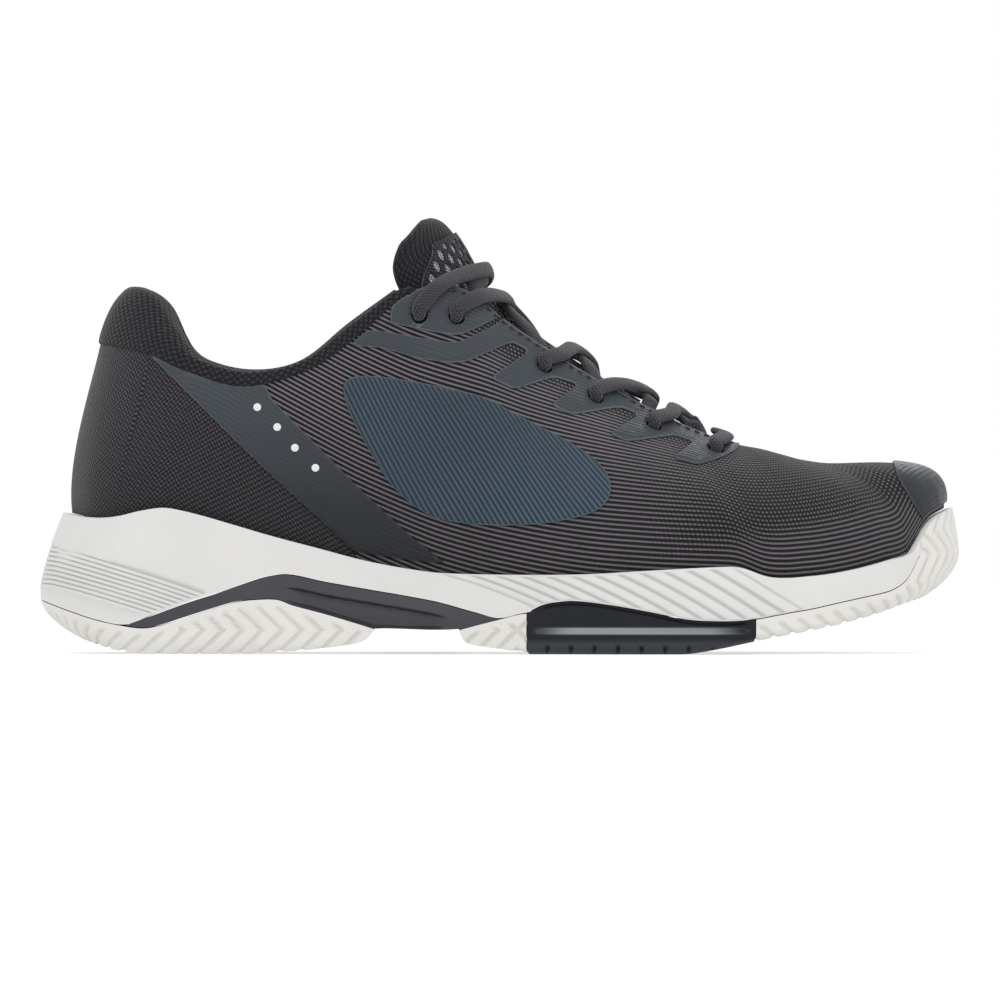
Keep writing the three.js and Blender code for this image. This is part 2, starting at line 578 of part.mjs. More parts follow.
function tongueFace(p, q) {
  const [x, z, half, depth, , lean] = along(TONGUE, clamp(p, 0, TONGUE.length - 1));
  const drop = depth * Math.abs(q) ** 1.8;
  const a = THREE.MathUtils.degToRad(lean);
  return new THREE.Vector3(x - drop * Math.cos(a), half * q, z - drop * Math.sin(a));
}

// q from -1 (outer edge) to 1 (inner edge); lift is measured out of the surface
function tonguePoint(p, q, lift) {
  const e = 0.04;
  const dp = tongueFace(p + e, q).sub(tongueFace(p - e, q));
  const dq = tongueFace(p, q + e).sub(tongueFace(p, q - e));
  return tongueFace(p, q).addScaledVector(dq.cross(dp).normalize(), lift);
}

const SLAB_Q = 8;

function tongueSlab(p0, p1, np, q1, top, bottom) {
  const ps = range(p0, p1, np);
  const qs = range(-q1, q1, SLAB_Q);
  const face = lift => ps.map(p => qs.map(q => tonguePoint(p, q, lift(p, q / q1))));
  const upper = face(top);
  const lower = face(bottom);
  const border = [...upper[0].map((_, j) => [0, j]),
    ...ps.slice(1).map((_, i) => [i + 1, SLAB_Q]),
    ...upper[0].slice(1).map((_, j) => [np, SLAB_Q - 1 - j]),
    ...ps.slice(1, -1).map((_, i) => [np - 1 - i, 0])];
  border.push(border[0]);
  return join(sheetOf(upper, true), sheetOf(lower),
    sheetOf(border.map(([i, j]) => [upper[i][j], lower[i][j]]), true));
}

const thickness = p => along(TONGUE, p)[4];
const thin = q => 1 - 0.45 * q ** 4;
add('tongue', tongueSlab(0, 10, 18, 1, () => 0, (p, q) => -thickness(p) * thin(q)), 0x26272b, 0.95);
add('tongue_mesh', tongueSlab(3.3, 8.6, 12, 0.48, () => GAP + 0.7, () => GAP), 0x77757c, 0.95);

// ---- lace ---------------------------------------------------------------------------------------------
const OVER = 2.1;             // lace centre above the textile
const UNDER = -2.7;           // and below it
const RIDGE_ROWS = [6.5, 5.35, 4.1, 3.25, 2.7];
const BAR_ROW = 2.05;

function onUpper(side, r, v, lift, shiftUp = 0) {
  const f = frameAt(side, r, v);
  return { at: f.at.addScaledVector(f.normal, lift).addScaledVector(f.up, shiftUp), ref: f.along };
}

function onRidge(p, q, lift) {
  const ref = tonguePoint(p - 0.2, 0, 0).sub(tonguePoint(p + 0.2, 0, 0)).normalize();
  return { at: tonguePoint(p, q, lift), ref };
}

// through an eyelet from above to below the textile, in the order from outside to inside
function throughEyelet(side, n) {
  const [r, v] = EYELETS[n - 1];
  return [onUpper(side, r, v, OVER, 1.7), onUpper(side, r, v, OVER * 0.6, 0.2),
    onUpper(side, r, v, -0.3, -0.1), onUpper(side, r, v, UNDER * 0.75, 0.4),
    onUpper(side, r, v, UNDER - 0.1, 1.8)];
}

const underEdge = (side, n) => [onUpper(side, EDGE_ROWS[n - 1], 0.97, UNDER)];

// from eyelet n on one side over the throat to the edge of the next row on the other side
function strand(side, n) {
  const upper = side < 0;
  const lift = upper ? 5.6 : 3.25;
  const p = RIDGE_ROWS[n - 1];
  const [r] = EYELETS[n - 1];
  return [onUpper(side, r + (EDGE_ROWS[n] - r) * 0.28, 0.985, OVER + 0.45),
    onRidge(p + 0.12, side * 0.22, lift), onRidge(p - 0.1, -side * 0.22, lift - (upper ? 0.7 : 0)),
    onUpper(-side, lerp(EDGE_ROWS[n], r, 0.08), 1, UNDER + 0.5, n === 1 ? 5.2 : 4.2)];
}

function lacePath() {
  const path = [];
  const walk = [[1, 1], [-1, 2], [1, 3], [-1, 4], [1, 5], [-1, 6]];
  for (const [side, n] of walk) {
    if (n > 1) path.push(...underEdge(side, n), ...throughEyelet(side, n).reverse());
    else path.push(...tail(side), ...throughEyelet(side, n).reverse());
    if (n < 6) path.push(...strand(side, n));
  }
  path.push(onUpper(-1, 13.2, 0.98, OVER + 0.5), onRidge(BAR_ROW, 0, 4.6),
    onUpper(1, 13.2, 0.98, OVER + 0.5));
  for (const [mirrored, n] of [...walk].reverse()) {
    const side = -mirrored;
    if (n < 6) path.push(...strand(side, n).reverse());
    path.push(...throughEyelet(side, n));
    if (n > 1) path.push(...underEdge(side, n));
    else path.push(...tail(side).reverse());
  }
  return path;
}

// the free end hangs inside the shoe, beside the tongue
function tail(side) {
  return [onUpper(side, 8.4, 0.35, -7.4), onUpper(side, 8.38, 0.5, -6.8), onUpper(side, 8.32, 0.65, -5.8),
    onUpper(side, 8.25, 0.77, -4.6)];
}

function ribbon(path, steps, width, thick) {
  const spine = new THREE.CatmullRomCurve3(path.map(k => k.at), false, 'centripetal');
  const refs = new THREE.CatmullRomCurve3(path.map(k => k.ref), false, 'catmullrom');
  const sections = [];
  const count = (path.length - 1) * steps;
  for (let i = 0; i <= count; i++) {
    const u = i / count;
    const c = spine.getPoint(u);
    const t = spine.getTangent(u);
    const w = refs.getPoint(u);
    w.addScaledVector(t, -w.dot(t)).normalize();
    const n = t.clone().cross(w);
    sections.push([[0.5, 0], [0, 0.5], [-0.5, 0], [0, -0.5]]
      .map(([a, b]) => c.clone().addScaledVector(w, a * width).addScaledVector(n, b * thick)));
  }
  return loft(sections, true);
}

const path = lacePath();
add('lace', ribbon(path, 2, LACE_W, LACE_T), 0x4d4a52, 0.9);
for (const [label, end, next] of [['medial', path[0], path[1]], ['lateral', path.at(-1), path.at(-2)]]) {
  const dir = end.at.clone().sub(next.at).normalize();
  const g = new THREE.CylinderGeometry(1.4, 1.4, 20, 10);
  g.applyQuaternion(new THREE.Quaternion().setFromUnitVectors(new THREE.Vector3(0, 1, 0), dir));
  const c = end.at.clone().addScaledVector(dir, 10.3);
  g.translate(c.x, c.y, c.z);
  add(`aglet_${label}`, g, 0x3a383e, 0.3);
}

export default shoe;
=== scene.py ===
"""Looks of the court shoe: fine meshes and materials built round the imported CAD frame.

Sizes are in millimetres here and become metres in new_object(). +X is the toe, +Y the inner
(medial) side, +Z up. r counts stations from the heel centre (0) to the toe tip (18) on each side.
"""
import math

import bpy
import numpy as np
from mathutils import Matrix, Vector


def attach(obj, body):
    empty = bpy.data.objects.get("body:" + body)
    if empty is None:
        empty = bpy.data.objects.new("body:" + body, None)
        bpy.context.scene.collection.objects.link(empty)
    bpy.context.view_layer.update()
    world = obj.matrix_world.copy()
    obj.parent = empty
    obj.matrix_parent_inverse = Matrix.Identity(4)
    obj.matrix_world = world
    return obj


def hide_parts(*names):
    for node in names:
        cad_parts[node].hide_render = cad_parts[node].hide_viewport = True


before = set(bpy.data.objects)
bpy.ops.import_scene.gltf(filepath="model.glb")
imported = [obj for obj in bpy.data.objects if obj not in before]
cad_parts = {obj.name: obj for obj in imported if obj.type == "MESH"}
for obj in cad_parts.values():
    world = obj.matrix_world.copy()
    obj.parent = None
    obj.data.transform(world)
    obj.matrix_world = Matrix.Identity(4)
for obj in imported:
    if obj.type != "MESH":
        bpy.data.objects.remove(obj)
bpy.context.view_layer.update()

MM = 0.001
ROWS = 18
VAMP_ROW = 14
GAP = 0.3
SIDES = {"lateral": -1, "medial": 1}

# ---- the shoe's own lines, as in the CAD source ----
OUTER = [
    (-150, 0), (-147.5, -14), (-140, -27), (-127, -36.5), (-110, -40.5), (-85, -40.5), (-60, -38.5),
    (-40, -37.5), (-20, -40), (0, -46), (20, -52), (45, -57), (70, -57.5), (90, -54), (108, -47),
    (124, -36), (137, -22), (146, -6), (149.2, 10)]
INNER = [
    (-150, 0), (-147.5, 14), (-140, 27), (-127, 36), (-110, 39.5), (-85, 38.5), (-60, 35), (-40, 32),
    (-20, 31), (0, 33.5), (20, 40), (45, 49), (70, 54.5), (90, 55), (110, 52), (128, 45.5), (140, 36),
    (147, 24), (149.2, 10)]
EDGE = [
    (-130.2, 0, 101), (-128.6, 9.5, 100.8), (-123.5, 18, 99.9), (-114, 26.5, 97.3), (-101, 32, 91.4),
    (-82.7, 35.3, 86.8), (-62, 36, 92.3), (-45, 34.3, 104.3), (-30, 29.5, 117), (-13, 22.5, 118.2),
    (3, 17.5, 106.5), (26, 15, 91.5), (50, 12.5, 78.3), (69, 9.5, 69.6), (79.5, 0, 67.2)]
TOPLINE = [
    (-119, 0, 119), (-117, 9, 118.6), (-111.5, 16, 115.6), (-105, 23.5, 105.5), (-97, 28, 96.3),
    (-81.5, 31, 92), (-65, 31.5, 94.9), (-49.5, 31, 107), (-35.5, 28, 117.2)]
PAD = [13, 13, 12.5, 11.5, 10.5, 10, 9.5, 9, 8]
# x, z, half width, depth of the edges below the ridge, thickness, lean of the surface in degrees
TONGUE = [
    (90, 60.4, 14, 4, 2.2, 72), (80, 63.6, 16, 6, 2.4, 70), (69, 67.2, 18, 9, 3, 65),
    (50.4, 78, 20, 12, 4, 60), (26.6, 92.2, 21, 14, 5, 57), (4.2, 107.8, 22, 17, 6, 50),
    (-5.2, 117.6, 22.5, 20, 7, 40), (-9.8, 126.6, 23, 23.5, 8, 32), (-14, 134, 23, 22.5, 8, 27),
    (-18.5, 139.5, 21.5, 14.5, 7, 24), (-23.5, 142.4, 18, 7.5, 4.5, 22)]
HEEL_LINE = [
    (-170, 18.2), (-150, 17.4), (-146.7, 16.2), (-139.3, 13.6), (-131.1, 11), (-122, 9.1), (-115.5, 8.4),
    (-109.7, 9.4), (-101.6, 12), (-93.4, 14.6), (-85.3, 16.9), (-77.2, 17.7), (-72, 17.5), (-67.8, 15.9),
    (-57, 13), (-46.2, 9.75), (-41, 8.1)]
SHANK_LINE = [
    (-121.4, 9.4), (-112.3, 12.7), (-101.6, 16.6), (-93.4, 19.2), (-85.3, 22.1), (-77.2, 24.7),
    (-69, 25.6), (-57, 23.2), (-43.4, 20.8), (-30, 18.5), (-20.3, 16.6), (-8.3, 13.3), (-0.8, 11.5)]
FORE_LINE = [
    (8, 13.2), (30, 13), (50, 11.8), (66, 10.5), (76, 10.5), (82.4, 11.4), (92.5, 13.3), (100, 14.6),
    (107.4, 16.25), (117.3, 18.4), (123.7, 19.8), (127.2, 21.1), (130.8, 23.7), (133.1, 27.3), (134.8, 31),
    (135.6, 36), (135.8, 60)]
HEEL_BASE = [(-170, -6), (-90, -6), (-80, -0.3), (-66, 1), (-51.5, 2.6), (-44.2, 4.4), (-41, 8.1)]
FORE_BASE = [
    (-13.9, 7.8), (-12.2, 4.2), (-9.6, 3), (0, 1.6), (9, 0.5), (14, -0.3), (20, -6), (170, -6)]
SHANK_BASE = HEEL_LINE[5:] + [(-38, 8.1), (-14.2, 7.9), (-0.8, 11.2)]
INSERT_TOP = [
    (8, 13), (13.2, 15.6), (18.4, 16.6), (23.6, 16.9), (33, 15.9), (42.9, 14.3), (52.8, 12.35), (59.5, 11),
    (66.1, 10.5), (76, 10.5), (81.6, 11.2)]
HEEL_END_X = -41.05
FORE_START_X = -13.8
SHANK_X = (-121.2, -1.0)
INSERT_X = (8.0, 81.9)
INSERT_Y = -31.0
INSERT_HIGHLIGHT = ((103, 118), (175, 160))   # where the painted highlight on its ledge begins and ends, along the edge
EYELETS = [(8.16, 0.89), (8.84, 0.87), (10.44, 0.88), (11.12, 0.86), (11.9, 0.86), (12.92, 0.84)]
EDGE_ROWS = [8.6, 9.5, 10.55, 11.28, 12.02, 12.88]
RIDGE_ROWS = [6.5, 5.35, 4.1, 3.25, 2.7]
BAR_ROW = 2.05
HEEL_SEAM = [(-122, 104.9), (-115.5, 98.5), (-85.3, 68.9), (-48, 34), (-40, 10)]
STRAP = [
    (-118, 106), (-116, 99), (-85.9, 68.7), (-48.6, 33.8), (-40.5, 20), (-8, 20), (-15.1, 27.3),
    (-28.1, 37.1), (-44.4, 52), (-52.8, 60.5), (-73.9, 81.9), (-79, 92), (-100, 106)]
EYESTAY = [
    (-49.2, 99.6), (-38.5, 98.8), (-27.8, 95.6), (-17.1, 93.9), (-11.2, 94.3), (3.1, 100.8), (8.9, 97.5),
    (-4.1, 89.1), (4.1, 85.2), (16.7, 89.4), (24.9, 86.8), (15.8, 80.3), (22.6, 77), (38.4, 79.6),
    (44.4, 77), (34.6, 71), (40.5, 68.3), (56.1, 70.5), (62.1, 68.3), (55.1, 63.1), (63.2, 60.8),
    (70.7, 63.1), (76.5, 66), (84, 80), (60, 95), (20, 118), (6, 116), (-0.8, 106.9), (-14.3, 100.2),
    (-27, 102.3), (-43, 105)]
EYESTAY_TOP = [
    (-36, 110.3), (-36, 106.9), (-26.5, 104.8), (-16.4, 102.9), (-12.5, 103.2), (-6.3, 106.1), (1, 110),
    (8, 118), (-10, 130), (-30, 130)]
SIDE_PANEL = [
    (-50, 88.5), (-12, 84.6), (6, 76.5), (27, 65), (35, 55.5), (31, 46.5), (12, 42), (-12, 42.2),
    (-27, 47), (-40, 61)]


# ---- curves ----
def lerp(a, b, t):
    return a + (b - a) * t


def ease(a, b, x):
    """Smooth step from 0 at a to 1 at b."""
    t = np.clip((np.asarray(x, float) - a) / (b - a), 0, 1)
    return t * t * (3 - 2 * t)


def curve(points):
    """Smooth function through (x, value) points, flat outside them."""
    x, y = np.array(points, float).T
    k = np.arange(len(x))
    a, b = np.maximum(k - 1, 0), np.minimum(k + 1, len(x) - 1)
    slope = (y[b] - y[a]) / (x[b] - x[a])

    def at(value):
        v = np.clip(np.asarray(value, float), x[0], x[-1])
        i = np.clip(np.searchsorted(x, v, side="left") - 1, 0, len(x) - 2)
        h = x[i + 1] - x[i]
        t = (v - x[i]) / h
        return (y[i] + (y[i + 1] - y[i]) * t * t * (3 - 2 * t)
                + h * (slope[i] * t * (1 - t) ** 2 - slope[i + 1] * t * t * (1 - t)))
    return at


def through(points, t, ring=False):
    """Catmull-Rom value at t, in whole numbers at the points."""
    p = np.array(points, float)
    n = len(p)
    t = np.asarray(t, float)
    i = np.floor(t).astype(int)
    if not ring:
        i = np.clip(i, 0, n - 2)
    f = (t - i)[..., None]
    a, b, c, d = ((p[(i + k) % n] if ring else p[np.clip(i + k, 0, n - 1)]) for k in (-1, 0, 1, 2))
    return 0.5 * (2 * b + (c - a) * f + (2 * a - 5 * b + 4 * c - d) * f * f
                  + (3 * b - a - 3 * c + d) * f ** 3)


PLAN = OUTER + INNER[-2:0:-1]


def turn(side, r):
    """Place on the closed outline: 0 heel, 18 toe, back to 36 along the inner side."""
    return np.mod(np.where(np.asarray(side) < 0, r, 2 * ROWS - np.asarray(r, float)), 2 * ROWS)


def outline(side, r, inset=0.0):
    """Points of the plan outline moved inwards, their outward normals and the outline's own x."""
    t = turn(side, r)
    d = through(PLAN, t + 0.01, True) - through(PLAN, t - 0.01, True)
    out = np.stack([d[..., 1], -d[..., 0]], -1) / np.linalg.norm(d, axis=-1, keepdims=True)
    p = through(PLAN, t, True)
    return p - out * np.asarray(inset)[..., None], out, p[..., 0]


tread_line = curve([
    (-150, 4.6), (-142, 3.9), (-133.7, 2.7), (-125.6, 1.2), (-117, 0.1), (-112, 0), (-60, 0), (40, 0),
    (58, 0), (68, 1.3), (82.4, 4.2), (107.4, 8.9), (122, 12.4), (132, 15.2), (140, 17), (149.2, 18.4)])
rim = curve([
    (-150, 45.5), (-140, 44.2), (-132, 43.9), (-125.6, 44.5), (-117.5, 46.15), (-109.7, 47.1),
    (-103.2, 46.15), (-96, 44.4), (-85.3, 41.3), (-74.6, 38.2), (-57, 33.5), (-43.4, 29.9), (-30, 27.3),
    (-19.2, 26), (6, 25.5), (26.2, 25.7), (46.3, 26.8), (72.6, 28.1), (78, 27.7), (86.3, 25), (92.5, 24.5),
    (100, 25), (107.4, 25.8), (117.3, 27.6), (127.2, 30.2), (134.5, 32.4), (137.5, 36.5), (140.5, 41.3),
    (143.5, 44.3), (149.2, 47.1)])
bed = curve([
    (-150, 34), (-130, 31), (-100, 30), (-75, 29.3), (-50, 27), (-20, 22.5), (20, 19), (60, 17.5),
    (90, 17.8), (115, 20.5), (132, 25), (149.2, 33)])
rim_inset = curve([
    (-150, 7.5), (-135, 5.5), (-100, 4.5), (-60, 3.5), (0, 3.2), (80, 3.2), (120, 2.6), (149.2, 2.2)])
bed_inset = curve([(-150, 14), (-120, 9.5), (-60, 7.5), (0, 7.5), (80, 8), (125, 9), (149.2, 13)])
bevel = curve([
    (-150, 14), (-140, 9.5), (-125, 3.2), (-100, 2.6), (100, 2.6), (125, 4), (140, 8), (149.2, 11.5)])
bevel_to = curve([
    (-150, 0.37), (-130, 0.22), (-100, 0.12), (100, 0.14), (130, 0.36), (149.2, 0.56)])


def ground(x):
    return np.maximum(0, tread_line(x))


# ---- surface of the upper ----
spine_z = curve([
    (79.5, 67.2), (84, 66.4), (90.5, 64.7), (95, 63.4), (102.4, 61.9), (112.3, 61.6), (118, 61.5)])
SPINE_X = (79.5, 118)
spine_y = curve([(79.5, 0), (90, 1), (104, 4), (118, 7.5)])
foot_rise = curve([(0, 0.3), (9, 0.34), (14, 0.36), (16, 0.45), (18, 0.52)])
top_pull = curve([
    (0, 16), (3, 15), (5, 14), (8, 26), (9, 30), (11, 26), (14, 22), (16, 18), (18, 14)])
top_lean = curve([
    (0, 0.12), (4, 0.12), (7, 0.1), (8, 0.25), (9, 0.72), (10, 0.8), (12, 1.5), (13, 2.2)])
fall_back = curve([(0, -0.22), (3, -0.1)])
fall_down = curve([(12.5, 1), (14, 0)])


def unit(v):
    return v / np.maximum(np.linalg.norm(v, axis=-1, keepdims=True), 1e-9)


def floats(*values):
    """The values as arrays of one shape."""
    return np.broadcast_arrays(*(np.asarray(k, float) for k in values))


def stack(*parts):
    return np.stack(np.broadcast_arrays(*parts), -1)


def at_height(p, z):
    return np.concatenate([p, z[..., None]], -1)


def run_length(points, axis=0):
    """Length along lines of points, from the first of each."""
    steps = np.linalg.norm(np.diff(points, axis=axis), axis=-1)
    return np.concatenate([np.zeros_like(np.take(steps, [0], axis)), np.cumsum(steps, axis)], axis)


def edge_point(side, r):
    """Point of the top edge: round the throat up to the vamp, then along the vamp's spine."""
    side, r = floats(side, r)
    x = lerp(*SPINE_X, (r - VAMP_ROW) / (ROWS - VAMP_ROW))
    throat = through(EDGE, np.clip(r, 0, VAMP_ROW)) * stack(1.0, side, 1.0)
    return np.where((r >= VAMP_ROW)[..., None], stack(x, spine_y(x), spine_z(x)), throat)


def edge_fall(side, r, edge):
    """Direction in which a rib leaves the top edge."""
    side, r = floats(side, r)
    x = edge[..., 0]
    swing = (np.pi / 2) * np.clip((r - VAMP_ROW) / (ROWS - VAMP_ROW), 0, 1) ** 1.5
    dx = np.sin(swing)
    slope = spine_z(x + 0.5) - spine_z(x - 0.5)
    drift = spine_y(x) - spine_y(x - 1.0)
    vamp = stack(dx, side * np.cos(swing) + drift * dx, slope * dx)
    back = np.where(r < 3, fall_back(r), 0.06)
    lean = np.where(r < 1, top_lean(r) * r, top_lean(r))
    throat = unit(stack(back, side * lean, -fall_down(r)))
    return np.where((r >= VAMP_ROW)[..., None], vamp, throat)


def rib_foot(side, r):
    x0 = outline(side, r)[2]
    p, out, _ = outline(side, r, rim_inset(x0) + 3)
    return at_height(p, rim(x0)), out, x0


def skin(side, r, v):
    """The upper's outer surface: v is 0 at the rim of the sole, 1 at the top edge, -1 at the bed."""
    side, r, v = floats(side, r, v)
    foot, out, x0 = rib_foot(side, r)
    top = edge_point(side, r)
    rise = np.linalg.norm(top - foot, axis=-1)
    a = foot + at_height(out * 2.2, rise * foot_rise(r))
    b = top + edge_fall(side, r, top) * top_pull(r)[..., None]
    q = np.clip(v, 0, 1)[..., None]
    w = 1 - q
    face = foot * w ** 3 + a * 3 * w * w * q + b * 3 * w * q * q + top * q ** 3
    low = at_height(outline(side, r, bed_inset(x0) + 0.9)[0], bed(x0) + 0.4)
    return lerp(face, low, np.clip(-v, 0, 1)[..., None])


def skin_past(side, r, v):
    """The same past the heel centre, the toe tip and the spine of the vamp, where the sides meet."""
    side, r, v = floats(side, r, v)
    side = np.where((r < 0) | (r > ROWS), -side, side)
    r = np.where(r < 0, -r, np.where(r > ROWS, 2 * ROWS - r, r))
    over = (v > 1) & (r >= VAMP_ROW)
    side = np.where(over, -side, side)
    v = np.where(over, 2 - v, np.minimum(v, 1))
    return skin(side, r, np.maximum(v, -1))


def skin_normal(side, r, v):
    e = 0.03
    v = np.minimum(v, 1 - 0.07 * ease(16, 17.6, r))   # the spine's front end is a pole
    dr = skin_past(side, r + e, v) - skin_past(side, r - e, v)
    dv = skin_past(side, r, v + e) - skin_past(side, r, v - e)
    return unit(np.cross(dr, dv)) * -np.asarray(side, float)[..., None]


# ---- meshes: rows of P hold position, normal, and weave coordinates (along, up, free) ----
def grid_faces(n, m, flip=False):
    a = (np.arange(n - 1)[:, None] * m + np.arange(m - 1)[None]).ravel()
    b = a + m
    if flip:
        return np.concatenate([np.stack([a, a + 1, b + 1], 1), np.stack([a, b + 1, b], 1)])
    return np.concatenate([np.stack([a, b + 1, a + 1], 1), np.stack([a, b, b + 1], 1)])


def joined(*parts):
    faces, base = [], 0
    for p, f in parts:
        faces.append(f + base)
        base += len(p)
    return np.concatenate([p for p, _ in parts]), np.concatenate(faces)


def weld(p, f, eps=2e-3):
    key = np.round(p[:, :3] / eps).astype(np.int64)
    _, first, to = np.unique(key, axis=0, return_index=True, return_inverse=True)
    f = to.reshape(-1)[f]
    kept = (f[:, 0] != f[:, 1]) & (f[:, 1] != f[:, 2]) & (f[:, 2] != f[:, 0])
    return p[first], f[kept]


def clip(p, f, field):
    """The part of a triangle mesh where field is above 0, cut cleanly along its zero line."""
    inside = field > 0
    count = inside[f].sum(1)
    whole = f[count == 3]
    new_points, index = [], {}

    def cut(a, b):
        key = (a, b) if a < b else (b, a)
        if key not in index:
            t = field[key[0]] / (field[key[0]] - field[key[1]])
            index[key] = len(p) + len(new_points)
            new_points.append(lerp(p[key[0]], p[key[1]], t))
        return index[key]
    extra = []
    for t in f[(count == 1) | (count == 2)].tolist():
        state = [bool(inside[k]) for k in t]
        turn_by = state.index(True) if sum(state) == 1 else (state.index(False) + 1) % 3
        a, b, c = t[turn_by], t[(turn_by + 1) % 3], t[(turn_by + 2) % 3]
        if sum(state) == 1:
            extra.append((a, cut(a, b), cut(a, c)))
        else:
            bc, ca = cut(b, c), cut(a, c)
            extra += [(a, b, bc), (a, bc, ca)]
    if new_points:
        p = np.concatenate([p, np.array(new_points)])
    f = np.concatenate([whole, np.array(extra, int).reshape(-1, 3)])
    used = np.unique(f)
    back = np.full(len(p), -1)
    back[used] = np.arange(len(used))
    return weld(p[used], back[f])


def thicken(p, f, outer, inner):
    """Closed solid between two offsets along the normals; offsets may vary over the points."""
    n = len(p)
    top, low = p.copy(), p.copy()
    top[:, :3] += p[:, 3:6] * np.broadcast_to(outer, n)[:, None]
    low[:, :3] += p[:, 3:6] * np.broadcast_to(inner, n)[:, None]
    edges = np.concatenate([f[:, [0, 1]], f[:, [1, 2]], f[:, [2, 0]]])
    ahead = edges[:, 0] * n + edges[:, 1]
    back = edges[:, 1] * n + edges[:, 0]
    border = edges[~np.isin(ahead, back)]
    a, b = border.T
    rim_faces = np.concatenate([np.stack([a, a + n, b + n], 1), np.stack([a, b + n, b], 1)])
    return np.concatenate([top, low]), np.concatenate([f, f[:, ::-1] + n, rim_faces])


def outward(p, f):
    a, b, c = p[f[:, 0], :3], p[f[:, 1], :3], p[f[:, 2], :3]
    return f if np.einsum("ij,ij->i", a, np.cross(b, c)).sum() > 0 else f[:, ::-1]


def placed(name, data):
    obj = bpy.data.objects.new(name, data)
    bpy.context.scene.collection.objects.link(obj)
    return obj


def new_object(name, points, faces, weave, look):
    """Object from points in mm, with the attribute that its material's pattern follows."""
    mesh = bpy.data.meshes.new(name)
    mesh.from_pydata((points * MM).tolist(), [], faces)
    mesh.attributes.new("weave", "FLOAT_VECTOR", "POINT")
    mesh.attributes["weave"].data.foreach_set("vector", weave.astype(np.float32).ravel())
    mesh.materials.append(LOOKS[look])
    return placed(name, mesh)


def finished(obj, slot, *replaced, body="shoe"):
    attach(obj, body)
    if replaced:
        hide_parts(*replaced)
    return obj


def piece(name, p, f, look, *replaced, slot=None, sharp=45, body="shoe", closed=True):
    """Piece of triangles; its slot argument is not used."""
    if closed:
        f = outward(p, f)
    obj = new_object(name, p[:, :3], f.tolist(), p[:, 6:9], look)
    obj.data.shade_smooth()
    obj.data.set_sharp_from_angle(angle=math.radians(sharp))
    return finished(obj, slot or look, *replaced, body=body)


def with_weave(points, weave):
    flat = points.reshape(-1, 3)
    return np.concatenate([flat, np.zeros_like(flat), weave.reshape(-1, 3)], 1)


def side_distance(x, z, polygon):
    """Signed distance to a closed side-view outline, above 0 inside."""
    q = np.array(polygon, float)
    best = np.full(np.shape(x), 1e9)
    inside = np.zeros(np.shape(x), bool)
    for (ax, az), (bx, bz) in zip(q, np.roll(q, -1, 0)):
        t = np.clip(((x - ax) * (bx - ax) + (z - az) * (bz - az))
                    / ((bx - ax) ** 2 + (bz - az) ** 2), 0, 1)
        best = np.minimum(best, np.hypot(x - lerp(ax, bx, t), z - lerp(az, bz, t)))
        crosses = (az > z) != (bz > z)
        inside ^= crosses & (x < (bx - ax) * (z - az) / np.where(bz == az, 1e-9, bz - az) + ax)
    return np.where(inside, best, -best)


# ---- looks ----
def srgb(r, g, b):
    return tuple(((c / 255 + 0.055) / 1.055) ** 2.4 if c > 10 else c / 255 / 12.92
                 for c in (r, g, b)) + (1,)


class Look:
    """Builds one procedural material."""

    def __init__(self, name, rough=0.6, sheen=0.0, coat=0.0, specular=0.5):
        self.material = bpy.data.materials.new(name)
        self.material.use_nodes = True
        self.tree = self.material.node_tree
        self.shader = self.tree.nodes["Principled BSDF"]
        for socket, value in (("Roughness", rough), ("Sheen Weight", sheen), ("Sheen Roughness", 0.5),
                              ("Coat Weight", coat), ("Specular IOR Level", specular)):
            self.set(socket, value)
        weave = self.node("Attribute")
        weave.attribute_name = "weave"
        self.along, self.up, self.free = self.node("SeparateXYZ", weave.outputs["Vector"]).outputs
        self.place = self.node("TexCoord").outputs["Object"]

    def set(self, name, value):
        self.put(self.shader.inputs[name], value)

    def put(self, socket, value):
        if isinstance(value, bpy.types.NodeSocket):
            self.tree.links.new(value, socket)
        else:
            socket.default_value = value

    def node(self, kind, *values):
        """New node with values or links on its first sockets."""
        node = self.tree.nodes.new("ShaderNode" + kind)
        for socket, value in zip(node.inputs, values):
            self.put(socket, value)
        return node

    def math(self, operation, a, b=0.0):
        node = self.node("Math", a, b)
        node.operation = operation
        return node.outputs[0]

    def times(self, a, b):
        return self.math("MULTIPLY", a, b)

    def plus(self, a, b):
        return self.math("ADD", a, b)

    def wave(self, coordinate, pitch):
        """0 to 1 and back over one pitch."""
        angle = self.times(coordinate, 2 * math.pi / pitch)
        return self.plus(self.times(self.math("SINE", angle), 0.5), 0.5)

    def diagonals(self, pitch):
        return (self.wave(self.plus(self.along, self.up), pitch),
                self.wave(self.math("SUBTRACT", self.along, self.up), pitch))

    def noise(self, scale, detail=3.0):
        node = self.node("TexNoise", self.place)
        node.inputs["Scale"].default_value = scale
        node.inputs["Detail"].default_value = detail
        return node.outputs["Fac"]

    def map(self, value, low, high, to_low=0.0, to_high=1.0):
        node = self.node("MapRange", value, low, high, to_low, to_high)
        node.interpolation_type = "SMOOTHSTEP"
        return node.outputs[0]

    def mix(self, factor, a, b):
        node = self.node("Mix", factor)
        node.data_type = "RGBA"
        self.put(node.inputs[6], a)
        self.put(node.inputs[7], b)
        return node.outputs[2]

    def painted_shade_below(self, colour, least):
        """Painted shade: darkens a colour towards the sole, as the light falls from above, keeping only the
        share least of it at 30 mm height and below and leaving it whole from 85 mm up.
        """
        height = self.node("SeparateXYZ", self.place).outputs[2]
        return self.mix(self.map(height, 0.03, 0.085, 1 - least, 0.0), colour, (0, 0, 0, 1))

    def bump(self, height, depth_mm):
        node = self.node("Bump", 1.0, depth_mm * MM)
        self.put(node.inputs["Height"], height)
        self.set("Normal", node.outputs[0])


